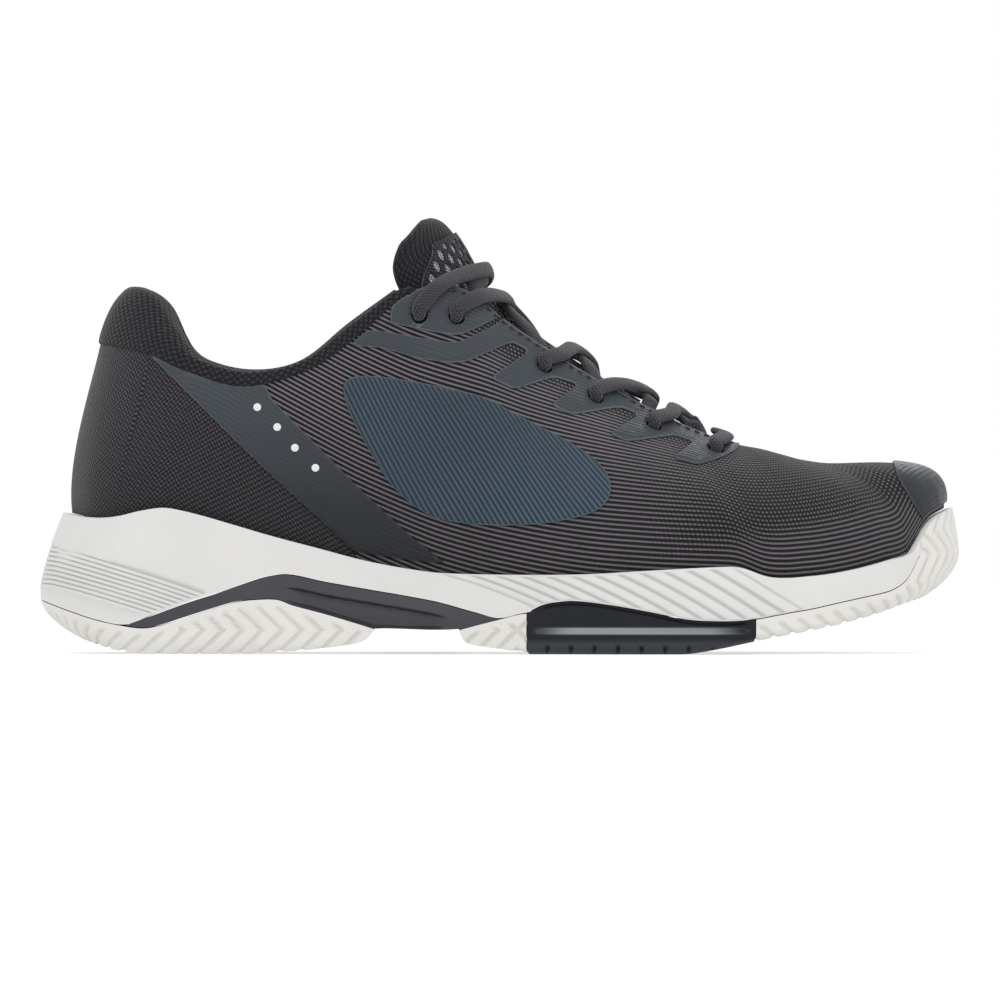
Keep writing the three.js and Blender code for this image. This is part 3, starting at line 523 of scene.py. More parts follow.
def moulded(name, base, dark, rough, coat=0.0):
    """Moulded rubber, foam or plastic: fine grain, faint blotches, and grooves darkened as painted shade.
    """
    base, dark = srgb(*base), srgb(*dark)
    look = Look(name, coat=coat)
    blotch = look.map(look.noise(45), 0.35, 0.7)
    tone = look.mix(look.times(blotch, 0.06), base, dark)
    # painted shade: the weave's free value darkens the grooves towards dark
    look.set("Base Color", look.mix(look.map(look.free, 0.15, 1.1, 0, 0.6), tone, dark))
    look.set("Roughness", look.map(look.noise(160), 0.3, 0.7, rough - 0.07, rough + 0.08))
    look.bump(look.plus(look.noise(2600, 2), look.times(look.noise(420), 0.6)), 0.05)
    return look.material


def moulded_insert():
    """Dark translucent rubber, with a painted highlight on the ledge halfway up its face and painted shade
    in its notches.
    """
    look = Look("insert_dark", rough=0.3, specular=0.2)
    # painted highlight: a pale band on the ledge's bevel, where it catches the light
    ledge = look.times(look.map(look.up, 6.1, 6.9), look.map(look.up, 9.0, 8.0))
    front, back = INSERT_HIGHLIGHT
    ends = look.times(look.map(look.along, *front), look.map(look.along, *back))
    ledge_highlight = look.times(look.times(ledge, ends), 0.75)
    tone = look.mix(look.noise(60), srgb(17, 20, 25), srgb(26, 29, 35))
    foot = look.map(look.up, 5.2, 3.2, 0, 0.9)
    tone = look.mix(foot, tone, srgb(52, 55, 62))
    tone = look.mix(ledge_highlight, tone, srgb(158, 161, 165))
    # painted shade: the notches, marked in the weave's free value, are darkened nearly to black
    look.set("Base Color", look.mix(look.free, tone, srgb(8, 8, 10)))
    look.set("Roughness", look.map(look.noise(200), 0.3, 0.7, 0.24, 0.38))
    look.bump(look.noise(2600, 2), 0.03)
    return look.material


RIB_PITCH = 1.65


def ribbed_textile():
    """Knit with raised ribs, which break into a grid of dots towards the top."""
    look = Look("upper_textile", rough=0.85, sheen=0.12, specular=0.3)
    rib = look.wave(look.up, RIB_PITCH)
    yarn = look.wave(look.plus(look.along, look.times(look.up, 0.5)), 0.95)
    dot = look.wave(look.along, 1.5)
    filled = look.plus(look.times(dot, look.free), look.math("SUBTRACT", 1.0, look.free))
    broken = look.times(rib, filled)
    shade = look.map(look.plus(broken, look.times(look.noise(900, 2), 0.3)), 0.48, 1.12)
    tone = look.mix(look.noise(30), srgb(98, 93, 100), srgb(121, 114, 121))
    # painted shade: the knit is darkened towards the sole
    look.set("Base Color", look.painted_shade_below(look.mix(shade, srgb(3, 3, 5), tone), 0.72))
    look.bump(look.plus(broken, look.times(yarn, 0.16)), 0.4)
    return look.material


def diagonal_mesh(name, dark, light, pitch, depth=0.28, sheen=0.15):
    """Knit of small crossing diagonals with dark holes between them."""
    look = Look(name, rough=0.88, sheen=sheen, specular=0.3)
    cross = look.times(*look.diagonals(pitch))
    rib = look.wave(look.plus(look.up, look.times(look.along, 0.35)), pitch * 0.9)
    weave = look.plus(look.times(look.math("POWER", cross, 0.6), 0.75), look.times(rib, 0.25))
    shade = look.map(look.plus(weave, look.times(look.noise(700, 2), 0.25)), 0.25, 1.1)
    # painted shade: the knit is darkened towards the sole
    look.set("Base Color", look.painted_shade_below(look.mix(shade, srgb(*dark), srgb(*light)), 0.72))
    look.bump(weave, depth)
    return look.material


def scaled(colour, by):
    return tuple(c * by for c in colour[:3]) + (1,)


def film(name, base, edge):
    """Thin fused film: the ribs beneath show faintly and the cut edge is a little lighter."""
    look = Look(name, rough=0.5, specular=0.3)
    rib = look.wave(look.up, RIB_PITCH)
    rim_light = look.map(look.free, 0.1, 0.55, 1, 0)
    tone = look.mix(look.times(look.noise(22), 0.3), base, scaled(base, 0.7))
    tone = look.mix(look.times(rib, 0.18), tone, scaled(base, 1.7))
    # painted shade: the film is darkened strongly towards the sole
    look.set("Base Color", look.painted_shade_below(look.mix(rim_light, tone, edge), 0.2))
    look.set("Roughness", look.map(look.noise(240), 0.3, 0.7, 0.42, 0.56))
    look.bump(look.plus(rib, look.times(look.noise(2400, 2), 0.5)), 0.12)
    return look.material


def hatched_panel():
    """Film printed with fine diagonal lines."""
    look = Look("panel_blue", rough=0.5, specular=0.3)
    slant = look.plus(look.times(look.along, 0.86), look.times(look.up, 0.5))
    line = look.wave(slant, 1.9)
    fade = look.map(look.noise(9), 0.3, 0.7, 0.6, 1.0)
    tone = look.mix(look.times(line, fade), srgb(20, 27, 35), srgb(66, 88, 105))
    rim_light = look.map(look.free, 0.1, 0.5, 1, 0)
    look.set("Base Color", look.mix(rim_light, tone, srgb(74, 88, 98)))
    look.bump(line, 0.14)
    return look.material


def braid(name, dark, light):
    """Lace: yarns that cross at a slant round a flat braid."""
    look = Look(name, rough=0.8, sheen=0.2, specular=0.3)
    dark, light = srgb(*dark), srgb(*light)
    weave = look.math("MAXIMUM", *(look.math("POWER", k, 1.6) for k in look.diagonals(1.15)))
    tone = look.mix(look.noise(60), dark, light)
    shade = look.map(look.plus(weave, look.times(look.noise(1200, 2), 0.3)), 0.2, 1.2)
    look.set("Base Color", look.mix(shade, scaled(dark, 0.3), tone))
    look.bump(weave, 0.22)
    return look.material


# base colour, colour of the blotches and of the painted shade in grooves, roughness, and for some a coat
MOULDED = {
    "rubber_white": ((213, 211, 206), (152, 151, 148), 0.5),
    "foam_white": ((207, 206, 204), (138, 138, 139), 0.55),
    "shank_dark": ((50, 48, 54), (18, 17, 20), 0.42),
    "aglet_plastic": ((58, 56, 62), (30, 29, 33), 0.25, 0.3),
    "stiffener": ((120, 116, 108), (90, 86, 80), 0.7),
    "print_white": ((214, 214, 214), (180, 180, 180), 0.4),
}
WOVEN = {
    "heel_textile": ((10, 9, 12), (76, 71, 78), 1.75),
    "collar_knit": ((5, 5, 8), (45, 46, 53), 2.15, 0.45, 0.12),
    "tongue_knit": ((5, 5, 8), (45, 45, 52), 2.0, 0.4, 0.12),
    "lining_textile": ((14, 14, 17), (52, 52, 58), 1.4, 0.2),
    "sockliner": ((16, 17, 20), (56, 57, 63), 1.8, 0.25),
    "tongue_open_mesh": ((14, 14, 18), (64, 62, 69), 1.1),
    "tongue_backing": ((110, 109, 114), (215, 214, 216), 1.0),
    "board": ((170, 165, 150), (206, 201, 188), 1.6),
}
BRAIDED = {"lace_textile": ((44, 42, 50), (68, 65, 74)), "stitch": ((20, 20, 25), (38, 38, 45))}
LOOKS = {
    "insert_dark": moulded_insert(),
    "upper_textile": ribbed_textile(),
    "film_slate": film("film_slate", srgb(51, 57, 63), srgb(82, 88, 94)),
    "panel_blue": hatched_panel(),
}
for recipe, table in ((moulded, MOULDED), (diagonal_mesh, WOVEN), (braid, BRAIDED)):
    LOOKS.update({name: recipe(name, *values) for name, values in table.items()})


# ---- sole ----
def wall_at(side, r, f):
    """Sole wall at height fraction f between the ground and the rim."""
    x0 = outline(side, r)[2]
    inset = (bevel(x0) * np.maximum(0, 1 - f / bevel_to(x0)) ** 2.2
             + np.maximum(0, (f - 0.42) / 0.58) ** 1.3 * rim_inset(x0))
    p, out, _ = outline(side, r, inset)
    return at_height(p, lerp(ground(x0), rim(x0), f)), out


def level(side, r, line, offset=0.0):
    """Height fraction at which the wall crosses a side-view line, found by halving."""
    low, high = np.zeros_like(r), np.ones_like(r)
    for _ in range(24):
        mid = (low + high) / 2
        p, _ = wall_at(side, r, mid)
        below = p[..., 2] < line(p[..., 0]) + offset
        low, high = np.where(below, mid, low), np.where(below, high, mid)
    return (low + high) / 2


def arc(side, r):
    """Length along the outline from the heel centre."""
    fine = np.linspace(0, ROWS, 721)
    return np.interp(r, fine, run_length(outline(side, fine)[0]))


def from_end(side, r):
    """Length along the outline from the heel or the toe, whichever is nearer."""
    s = arc(side, r)
    return np.minimum(s, arc(side, float(ROWS)) - s)


def pulse(phase, width, soft):
    """1 in a band of that width round whole numbers of phase, 0 elsewhere."""
    d = np.abs(phase - np.round(phase))
    return 1 - ease(width / 2 - soft, width / 2 + soft, d)


def herringbone(s, d):
    """Tread groove, 0 to 1, at s along the sole and d in from its edge."""
    pitch, turn_every, slant = 6.4, 15, 1.05
    zig = np.abs(np.mod(d + 4 * turn_every, turn_every) - turn_every / 2)
    return pulse((s + slant * zig) / pitch, 0.3, 0.07)


heel_groove_top = curve([(-152, 34.6), (-144.5, 34.2), (-120, 27.4), (-95.7, 19.4), (-70, 11), (-40, 4)])
HEEL_PITCH = 1.5


def fan(x, z):
    """Counts the slanting forefoot ribs: whole numbers lie on their grooves, 0 the first, 12 last."""
    lean = 0.29 + 0.32 * np.clip((x + 10) / 95, 0, 1)
    top_z, first_x, pitch = 26.5, -22, 8.3
    at_top = x - (top_z - z) / lean
    return (at_top - first_x) / pitch


def midsole_relief(p):
    """How far the midsole's wall stands back, in mm, at points of it, and the strength of the painted shade
    in its grooves.
    """
    x, z = p[..., 0], p[..., 2]
    deep = 0.42
    g = (heel_groove_top(x) - z) / HEEL_PITCH
    heel = pulse(g, 0.3, 0.1) * (g > -0.3) * deep * ease(-70, -80, x)
    k = fan(x, z)
    zone = ease(-0.4, 0.2, k) * ease(12.15, 11.9, k)
    fore = pulse(k, 0.34, 0.16) * deep * zone
    band = -0.5 * ease(0, 1.2, k) * ease(12.1, 11.8, k) * ease(-20, 15, x)
    return heel + fore + band, np.clip(heel / deep + fore / deep, 0, 1)


def capped(section, weave):
    """Closed mesh through sections whose last point repeats their first, with fans on its ends."""
    n, m = section.shape[:2]
    data = with_weave(section, weave)
    parts = [(data, grid_faces(n, m))]
    for i in (0, n - 1):
        ring = data[i * m:(i + 1) * m - 1]
        if np.ptp(ring[:, 1]) > 0.5 and np.ptp(ring[:, 2]) > 0.02:
            k = np.arange(m - 1)
            faces = np.stack([k, (k + 1) % (m - 1), np.full(m - 1, m - 1)], 1)
            centre = ring.mean(0, keepdims=True)
            parts.append((np.concatenate([ring, centre]), faces if i else faces[:, ::-1]))
    return weld(*joined(*parts))


def inner_steps(count):
    """Fractions between 0 and 1 without these two, to go across a section."""
    return np.linspace(0, 1, count)[None, 1:-1, None]


def rings(rows, lines):
    """Lines along both sides of the sole; lines gives their insets and heights from x."""
    return [np.stack([at_height(outline(side, rows, inset)[0], z)
                      for inset, z in lines(outline(side, rows)[2])], 1) for side in (-1, 1)]


def sole_loft(name, look, node, low, high, rows, wall_levels, across, relief, base_relief=None,
              top=None, pocket=None):
    """Closed solid through cross-sections of the sole at stations rows.

    low and high give the height fractions of its walls, and wall_levels those between them. relief
    gives the depth of grooves in the walls and the strength of the painted shade in them, and base_relief
    those in the base.
    top makes a shaped top, and between the stations pocket the outer wall leaves room for the insert.
    """
    sides = []
    for side in (-1, 1):
        a, b = low(side, rows), high(side, rows)
        f = wall_levels(side, rows, a, b)
        p, out = wall_at(side, rows[:, None], f)
        depth, groove = relief(side, rows[:, None] + 0 * f, p, f, a, b)
        x0 = outline(side, rows)[2][:, None]
        share = np.clip(f / np.maximum(bevel_to(x0) * 0.6, 1e-3), 0, 1)
        p[..., :2] -= out * (depth * share)[..., None]
        p[..., 2] += depth * (1 - share)
        if pocket and side < 0:
            inside = (rows > pocket[0]) & (rows < pocket[1])
            p[inside, :, 1] = np.maximum(p[inside, :, 1], INSERT_Y + GAP)
        # groove here is the strength of the painted shade in the grooves, which the material reads from the
        # weave
        weave = stack(arc(side, rows)[:, None], p[..., 2], groove)
        sides.append((p, weave))
    (left, left_w), (right, right_w) = sides
    q = inner_steps(across + 1)
    if top:
        top_grid, top_w = top()
    else:
        top_grid = lerp(left[:, -1:], right[:, -1:], q)
        top_w = lerp(left_w[:, -1:], right_w[:, -1:], q)
    base = lerp(left[:, :1], right[:, :1], q)
    base_w = lerp(left_w[:, :1], right_w[:, :1], q)
    if base_relief:
        depth, groove = base_relief(rows, q, left[:, :1], right[:, :1])
        base[..., 2] += depth
        base_w[..., 2] = groove
    section = np.concatenate([left, top_grid, right[:, ::-1], base[:, ::-1], left[:, :1]], 1)
    weave = np.concatenate([left_w, top_w, right_w[:, ::-1], base_w[:, ::-1], left_w[:, :1]], 1)
    p, f = capped(section, weave)
    piece(name, p, f, look, node, sharp=38)


def even_levels(count):
    """Levels spread evenly between low and high."""
    def levels(side, r, a, b):
        return lerp(a[:, None], b[:, None], np.linspace(0, 1, count)[None])
    return levels


def rows_at_x(x):
    """Station at which the outline reaches x (both sides agree up to the ball of the foot)."""
    fine = np.linspace(0, 13, 1301)
    return float(np.interp(x, outline(-1, fine)[2], fine))


def outsole_walls(line):
    """Tread grooves of a wall under its top line; over the insert's span they stay low."""
    def relief(side, r, p, f, a, b):
        x, z = p[..., 0], p[..., 2]
        height = z - ground(outline(side, r)[2])
        reach = np.where((x > 20) & (x < 96), ease(6.5, 5.0, height), 1.0)
        groove = herringbone(from_end(side, r), -height) * ease(1.6, 3.2, line(x) - z) * reach
        # depth of the tread grooves, and the painted shade in them
        return groove * 0.7, groove * 0.55
    return relief


def outsole_base(rows, q, left, right):
    """Herringbone from both edges to a groove along the middle; thin ends have shallow grooves."""
    half = np.abs(right[..., 1] - left[..., 1]) / 2
    inward = (0.5 - np.abs(q[..., 0] - 0.5)) * 2 * half
    s = np.where(q[..., 0] < 0.5, from_end(-1, rows)[:, None], from_end(1, rows)[:, None])
    groove = herringbone(s, inward) * ease(0, 6, s)
    spine = pulse((q[..., 0] - 0.5) * half / 3.2, 0.5, 0.15) * (np.abs(q[..., 0] - 0.5) * half < 1.6)
    groove = np.maximum(groove, spine)
    thick = np.clip(half / 6, 0, 1)
    # depth of the grooves, and the painted shade in them
    return groove * 1.4 * thick, groove * 0.8


def constant(value):
    """Height fraction that is the same all along."""
    return lambda side, r: np.full_like(r, value)


def line_level(points, offset=0.0):
    """Height fraction that follows a side-view line."""
    line = curve(points)
    return lambda side, r: level(side, r, line, offset)


def build_sole():
    full = np.linspace(0, ROWS, ROWS * 30 + 1)
    mid_line = curve(HEEL_LINE[:5] + SHANK_LINE + FORE_LINE)
    insert_line = curve(INSERT_TOP)

    def midsole_low(side, r):
        def line(x):
            z = mid_line(x) + GAP / 2
            if side < 0:
                within = (x > INSERT_X[0] - 0.3) & (x < INSERT_X[1] + 0.3)
                z = np.where(within, np.maximum(z, insert_line(x) + GAP), z)
            return z
        return level(side, r, line)

    def midsole_levels(side, r, a, b):
        """Even levels, which towards the heel gather at the edges of its grooves."""
        count = 64
        even = lerp(a[:, None], b[:, None], np.linspace(0, 1, count)[None])
        x0 = outline(side, r)[2]
        low, high = ground(x0), rim(x0)
        marks = np.array([0, 0.1, 0.16, 0.5, 0.84, 0.9])
        steps = (np.arange(9)[:, None] + marks[None]).ravel()[::-1][:54]
        z = heel_groove_top(x0)[:, None] - steps[None] * HEEL_PITCH
        start = (heel_groove_top(x0) - low) / (high - low)
        grooves = (z - low[:, None]) / (high - low)[:, None]
        upper = lerp(start[:, None], 1.0, np.linspace(0, 1, count - len(steps) + 1)[None, 1:])
        heel = np.clip(np.concatenate([grooves, upper], 1), a[:, None], b[:, None])
        heel[:, 0], heel[:, -1] = a, b
        return lerp(even, heel, ease(-62, -78, x0)[:, None])

    def midsole_wall(side, r, p, f, a, b):
        depth, groove = midsole_relief(p)
        edge = np.minimum((f - a[:, None]) * 30, (b[:, None] - f) * 25)
        keep = ease(0, 0.8, edge)
        # depth, and the painted shade in the grooves; both fade out at the wall's edges
        return depth * keep, groove * keep

    def midsole_lines(x):
        inset, z = rim_inset(x), rim(x)
        return ((inset + 0.5, z + 0.12), (inset + 1.3, z + 0.1), (inset + 2.2, z - 0.15),
                (inset + 2.6, z - 0.6), (bed_inset(x), bed(x)))

    def midsole_top():
        left, right = rings(full, midsole_lines)
        middle = lerp(left[:, -1:], right[:, -1:], inner_steps(7))
        grid = np.concatenate([left, middle, right[:, ::-1]], 1)
        return grid, stack(grid[..., 0], grid[..., 2], 0)

    sole_loft("midsole_foam", "foam_white", "midsole", midsole_low, constant(1.0), full,
              midsole_levels, 6, midsole_wall, top=midsole_top)

    heel_end = rows_at_x(HEEL_END_X)
    rows = np.linspace(0, heel_end, int(heel_end * 38))
    sole_loft("outsole_heel_tread", "rubber_white", "outsole_heel",
              line_level(HEEL_BASE), line_level(HEEL_LINE, -GAP / 2), rows, even_levels(26), 110,
              outsole_walls(curve(HEEL_LINE)), outsole_base)

    start = rows_at_x(FORE_START_X)
    ends = [rows_at_x(x) for x in INSERT_X]
    cuts = [end + step for end in ends for step in (-0.002, 0.002)]
    rows = np.concatenate([np.linspace(start, ROWS, int((ROWS - start) * 34)), cuts])
    fore = [(-13.9, 7.8), (-0.6, 11.3)] + FORE_LINE
    sole_loft("outsole_forefoot_tread", "rubber_white", "outsole_forefoot",
              line_level(FORE_BASE), line_level(fore, -GAP / 2), np.unique(rows), even_levels(30), 120,
              outsole_walls(curve(fore)), outsole_base, pocket=ends)

    def shank_relief(side, r, p, f, a, b):
        x, z = p[..., 0], p[..., 2]
        upper, lower = curve(SHANK_LINE)(x), curve(SHANK_BASE)(x)
        window = (ease(-73, -62, x) * ease(-16, -24, x) * ease(1.6, 2.6, upper - z - 2.2)
                  * ease(0, 1.2, z - lower - 0.2))
        # depth of the recessed window, and a faint painted shade in it
        return window * 2.2, window * 0.12

    rows = np.linspace(*(rows_at_x(x) for x in SHANK_X), 230)
    sole_loft("shank_plate", "shank_dark", "shank", line_level(SHANK_BASE, GAP / 2),
              line_level(SHANK_LINE, -GAP / 2), rows, even_levels(40), 8, shank_relief)
    build_insert(ends)


def build_insert(ends):
    """Dark abrasion insert let into the outer edge under the ball of the foot."""
    rows = np.linspace(ends[0] + 0.01, ends[1] - 0.01, 190)
    count = 46
    high = level(-1, rows, curve(INSERT_TOP))
    f = high[:, None] * np.linspace(0, 1, count)[None]
    p, out = wall_at(-1, rows[:, None], f)
    x, z = p[..., 0], p[..., 2]
    ends_fade = ease(8.5, 15, x) * ease(81.5, 77, x)
    ledge = 1.7 * ease(6.2, 8.6, z) * ends_fade * ease(0, 1.4, p[:, -1:, 2] - z)
    notch = pulse((x + 0.6) / 7.6, 0.16, 0.05) * ease(3.2, 2.2, z) * ends_fade
    lip = 0.5 * ease(1.0, 0.0, p[:, -1:, 2] - z)
    p[..., :2] -= out * (ledge + notch * 0.9 + lip * 0.4)[..., None]
    s = from_end(-1, rows)
    inner_top = p[:, -1:].copy()
    inner_low = p[:, :1].copy()
    inner_top[..., 1] = inner_low[..., 1] = INSERT_Y
    k = np.linspace(0, 1, 26)[None, 1:, None]
    top = lerp(p[:, -1:], inner_top, k)
    base = lerp(inner_low, p[:, :1], k)
    inward = p[:, :1, 1] - base[..., 1]
    groove = herringbone(s[:, None], -inward) * ease(0, 2, -inward)
    base[..., 2] += groove * 1.2
    section = np.concatenate([p, top, inner_low, base, p[:, :1]], 1)
    # the notches' share goes into the weave's free value, where the material paints them dark as shade
    flat = np.zeros(section.shape[:2])
    flat[:, :count] = notch
    p, f = capped(section, stack(s[:, None], section[..., 2], flat))
    piece("outsole_insert", p, f, "insert_dark", "outsole_lateral_insert", slot="rubber_dark", sharp=35)


# ---- upper ----
rib_tilt = curve([(-150, -8), (-90, 4), (-40, 16), (0, 26), (40, 33), (75, 36.5), (100, 37), (150, 37)])


def upper_grid(side, rs, vs):
    """Rows of the upper's surface at stations rs and heights vs, and its faces."""
    r, v = np.meshgrid(rs, vs, indexing="ij")
    p = skin(side, r, v)
    weave = stack(arc(side, rs)[:, None], run_length(p, 1), 0)
    data = np.concatenate([p, skin_normal(side, r, v), weave], -1)
    return data, grid_faces(len(rs), len(vs), side > 0), r, v


def upper_side(side):
    data, faces, r, v = upper_grid(side, np.linspace(0, ROWS, ROWS * 20 + 1), np.linspace(0, 1, 71))
    x, z = data[..., 0], data[..., 2]
    data[..., 7] += rib_tilt(x)
    dots = ease(26, 40, z - 0.25 * (x - 60)) * ease(30, 95, x) + ease(0.7, 0.95, v) * ease(8.5, 9.5, r)
    data[..., 8] = np.clip(dots, 0, 1) * 0.85
    return data.reshape(-1, 9), faces, np.stack([r.ravel(), v.ravel()], 1)


def eyelet_field(p, side, radius):
    """Distance to the nearest eyelet's rim, above 0 outside the holes."""
    best = np.full(len(p), 1e9)
    for r, v in EYELETS:
        centre = skin(side, r, v)
        axis = skin_normal(side, r, v)
        d = p[:, :3] - centre
        across = d - (d @ axis)[:, None] * axis
        near = np.linalg.norm(d, axis=1) < 12
        best = np.where(near, np.minimum(best, np.linalg.norm(across, axis=1) - radius), best)
    return best


def seam_field(p):
    """Distance behind the slanting heel seam: above 0 on the heel side."""
    return side_distance(p[:, 0], p[:, 2], HEEL_SEAM + [(-170, 10), (-170, 140), (-122, 140)])


def build_upper():
    masters = {side: upper_side(side) for side in (-1, 1)}
    p, f = joined(*(masters[side][:2] for side in (-1, 1)))
    p, f = clip(p, f, seam_field(p) - 0.1)
    p[:, 8] = 0
    p, f = thicken(p, f, 0.0, -1.3)
    piece("heel_panel_mesh", p, f, "heel_textile", "heel_panel")

    fronts = []
    for side in (-1, 1):
        p, f, _ = masters[side]
        field = np.minimum(-seam_field(p) - 0.1, eyelet_field(p, side, 2.9))
        fronts.append(clip(p, f, field))
    p, f = thicken(*weld(*joined(*fronts)), 0.0, -1.3)
    piece("upper_textile", p, f, "upper_textile", "vamp_mesh", "quarter_lateral", "quarter_medial")
    for label, side in SIDES.items():
        build_films(masters[side], side, label)
    build_toe_film(masters)
    build_lining()


def rounded(points, cut=0.12):
    """Outline with its corners taken off."""
    q = np.array(points, float)
    for _ in range(2):
        ahead = np.roll(q, -1, 0)
        q = np.stack([lerp(q, ahead, cut), lerp(q, ahead, 1 - cut)], 1).reshape(-1, 2)
    return q


def film_piece(node, p, f, field, look):
    """Film that lies where field is above 0; its cut edge is rounded over."""
    base, height = 0.3, 0.62
    p = p.copy()
    p[:, 8] = field
    p, f = clip(p, f, field)
    d = np.clip(p[:, 8], 0, None)
    lift = base + height * (0.35 + 0.65 * (1 - (1 - np.clip(d / 0.9, 0, 1)) ** 2))
    p, f = thicken(p, f, lift, base - 0.12)
    piece(f"{node}_fused", p, f, look, node, sharp=60)


def build_films(master, side, label):
    """Strap, eyestay and side panel, each cut out of the upper's surface by its outline."""
    p, f, rv = master
    low, high = (rv[:, 1] - 0.035) * 55, (0.996 - rv[:, 1]) * 55
    holes = eyelet_field(p, side, 2.75)
    common = np.minimum(np.minimum(low, high), holes)
    x, z = p[:, 0], p[:, 2]
    before_vamp = (13.8 - rv[:, 0]) * 18
    collar_clear = np.where(rv[:, 0] < 8.1, (0.988 - rv[:, 1]) * 60, 99)
    shapes = (("strap_film", STRAP, "film_slate"), ("eyestay_film", EYESTAY, "film_slate"),
              ("eyestay_top", EYESTAY_TOP, "film_slate"), ("side_panel", SIDE_PANEL, "panel_blue"))
    for base, polygon, look in shapes:
        if base == "side_panel":
            fine = np.linspace(0, len(polygon), 120, endpoint=False)
            polygon = through(polygon, fine, True)
        elif base != "strap_film":
            polygon = rounded(polygon)
        field = np.minimum(np.minimum(side_distance(x, z, polygon), common),
                           np.minimum(before_vamp, collar_clear))
        film_piece(f"{base}_{label}", p, f, field, look)


def build_toe_film(masters):
    """One cap over both sides."""
    parts = []
    line = curve([(40, 138.5), (56, 129), (66, 126.6)])
    for p, f, rv in masters.values():
        p = p.copy()
        p[:, 8] = np.minimum((p[:, 0] - line(p[:, 2])) * 0.8, (rv[:, 1] - 0.04) * 40)
        parts.append((p, f))
    p, f = weld(*joined(*parts))
    film_piece("toe_film", p, f, p[:, 8].copy(), "film_slate")


def build_lining():
    """Cloth inside the upper, down to the insole."""
    parts = []
    rs = np.linspace(0, ROWS, 181)
    vs = np.concatenate([np.linspace(-0.78, 0, 14), np.linspace(0, 0.7, 40)[1:]])
    for side in (-1, 1):
        data, faces, _, _ = upper_grid(side, rs, vs)
        parts.append((data.reshape(-1, 9), faces))
    p, f = thicken(*weld(*joined(*parts)), -3.1, -3.8)
    piece("lining_cloth", p, f, "lining_textile", "lining")


# ---- padding ----
def quad_object(name, grid, weave, look):
    """Closed object of quads through a grid of sections, points in mm."""
    n, m = grid.shape[:2]
    verts = grid.reshape(-1, 3)
    k = np.arange((n - 1) * m)
    ahead = k // m * m + (k + 1) % m
    quads = np.stack([k, ahead, ahead + m, k + m], 1)
    ends = [list(range(m - 1, -1, -1)), list(range((n - 1) * m, n * m))]
    obj = new_object(name, verts, quads.tolist() + ends, weave, look)
    a, b, c, d = (verts[quads[:, i]] for i in range(4))
    if np.sum(a * np.cross(b, c)) + np.sum(a * np.cross(c, d)) < 0:
        obj.data.flip_normals()
    return obj


def ring_weave(sections, middle):
    """Weave coordinates of closed sections: along their row of points middle, and round each."""
    return stack(run_length(sections[:, middle])[:, None], run_length(sections, 1), 0)


def positions(mesh):
    out = np.empty(len(mesh.vertices) * 3, np.float32)
    mesh.vertices.foreach_get("co", out)
    return out.reshape(-1, 3)


PUFF_FRAMES = 20
PUFF_PRESSURE = 4.0


def inflate(obj, held, cap_mm):
    """Puffs a padded piece with Cloth, keeps what is sewn down, and caps how far a point moves."""
    mesh = obj.data
    before = positions(mesh).copy()
    group = obj.vertex_groups.new(name="sewn")
    group.add([int(k) for k in np.flatnonzero(held)], 1.0, "REPLACE")
    cloth = obj.modifiers.new("puff", "CLOTH")
    settings = cloth.settings
    settings.vertex_group_mass = "sewn"
    settings.use_pressure = True
    settings.uniform_pressure_force = PUFF_PRESSURE
    settings.tension_stiffness = settings.compression_stiffness = 30
    settings.shear_stiffness = 15
    settings.effector_weights.gravity = 0
    cloth.collision_settings.use_collision = False
    cloth.collision_settings.use_self_collision = False
    scene = bpy.context.scene
    for number in range(1, PUFF_FRAMES + 1):
        scene.frame_set(number)
    graph = bpy.context.evaluated_depsgraph_get()
    after = positions(obj.evaluated_get(graph).to_mesh()).copy()
    obj.evaluated_get(graph).to_mesh_clear()
    obj.modifiers.remove(cloth)
    obj.vertex_groups.clear()
    scene.frame_set(1)
    move = after - before
    far = np.linalg.norm(move, axis=1, keepdims=True)
    limit = cap_mm * MM
    move *= np.where(far > limit, limit / np.maximum(far, 1e-9), 1.0)
    mesh.vertices.foreach_set("co", (before + move).ravel())
    mesh.update()
    smooth = obj.modifiers.new("smooth", "SUBSURF")
    smooth.levels = smooth.render_levels = 1
    mesh.shade_smooth()


padding = curve(list(enumerate(PAD)))


def collar_section(side, r):
    """Closed section of the collar, from its outer lower edge over the top and down inside."""
    e = edge_point(side, r)
    n = skin_normal(side, r, 1.0)
    t = through(TOPLINE, r)
    top = np.array([t[0], side * t[1], t[2]])
    out = unit(np.array([n[0], n[1], 0.0]))
    pad = float(padding(r))
    rise = top - e
    slim = float(np.clip((r - 7) / 0.8, 0, 1))

    def inside(v, depth):
        w = lerp(v, 0.94 + 0.06 * (v - 0.72) / 0.28, slim)
        return skin(side, r, w) - skin_normal(side, r, w) * depth
    up = unit(e - skin(side, r, 0.97))

    def off(p, o, z):
        return p + out * o + np.array([0, 0, z])
    return np.array([
        e - up * 0.5 + n * 0.75, off(e + rise * 0.3, pad * 0.2, 0.5), off(e + rise * 0.66, pad * 0.27, 0.7),
        off(top, pad * 0.24, -0.7), top, off(top, -pad * 0.3, -1.2), off(top, -pad * 0.52, -pad * 0.5),
        inside(0.92, lerp(pad * 0.86, 5.5, slim)), inside(0.84, lerp(pad * 0.62, 4.5, slim)),
        inside(0.74, 3.6), inside(0.72, 2.1), inside(0.84, 1.8), inside(0.97, 1.8),
        e - n * 1.6])


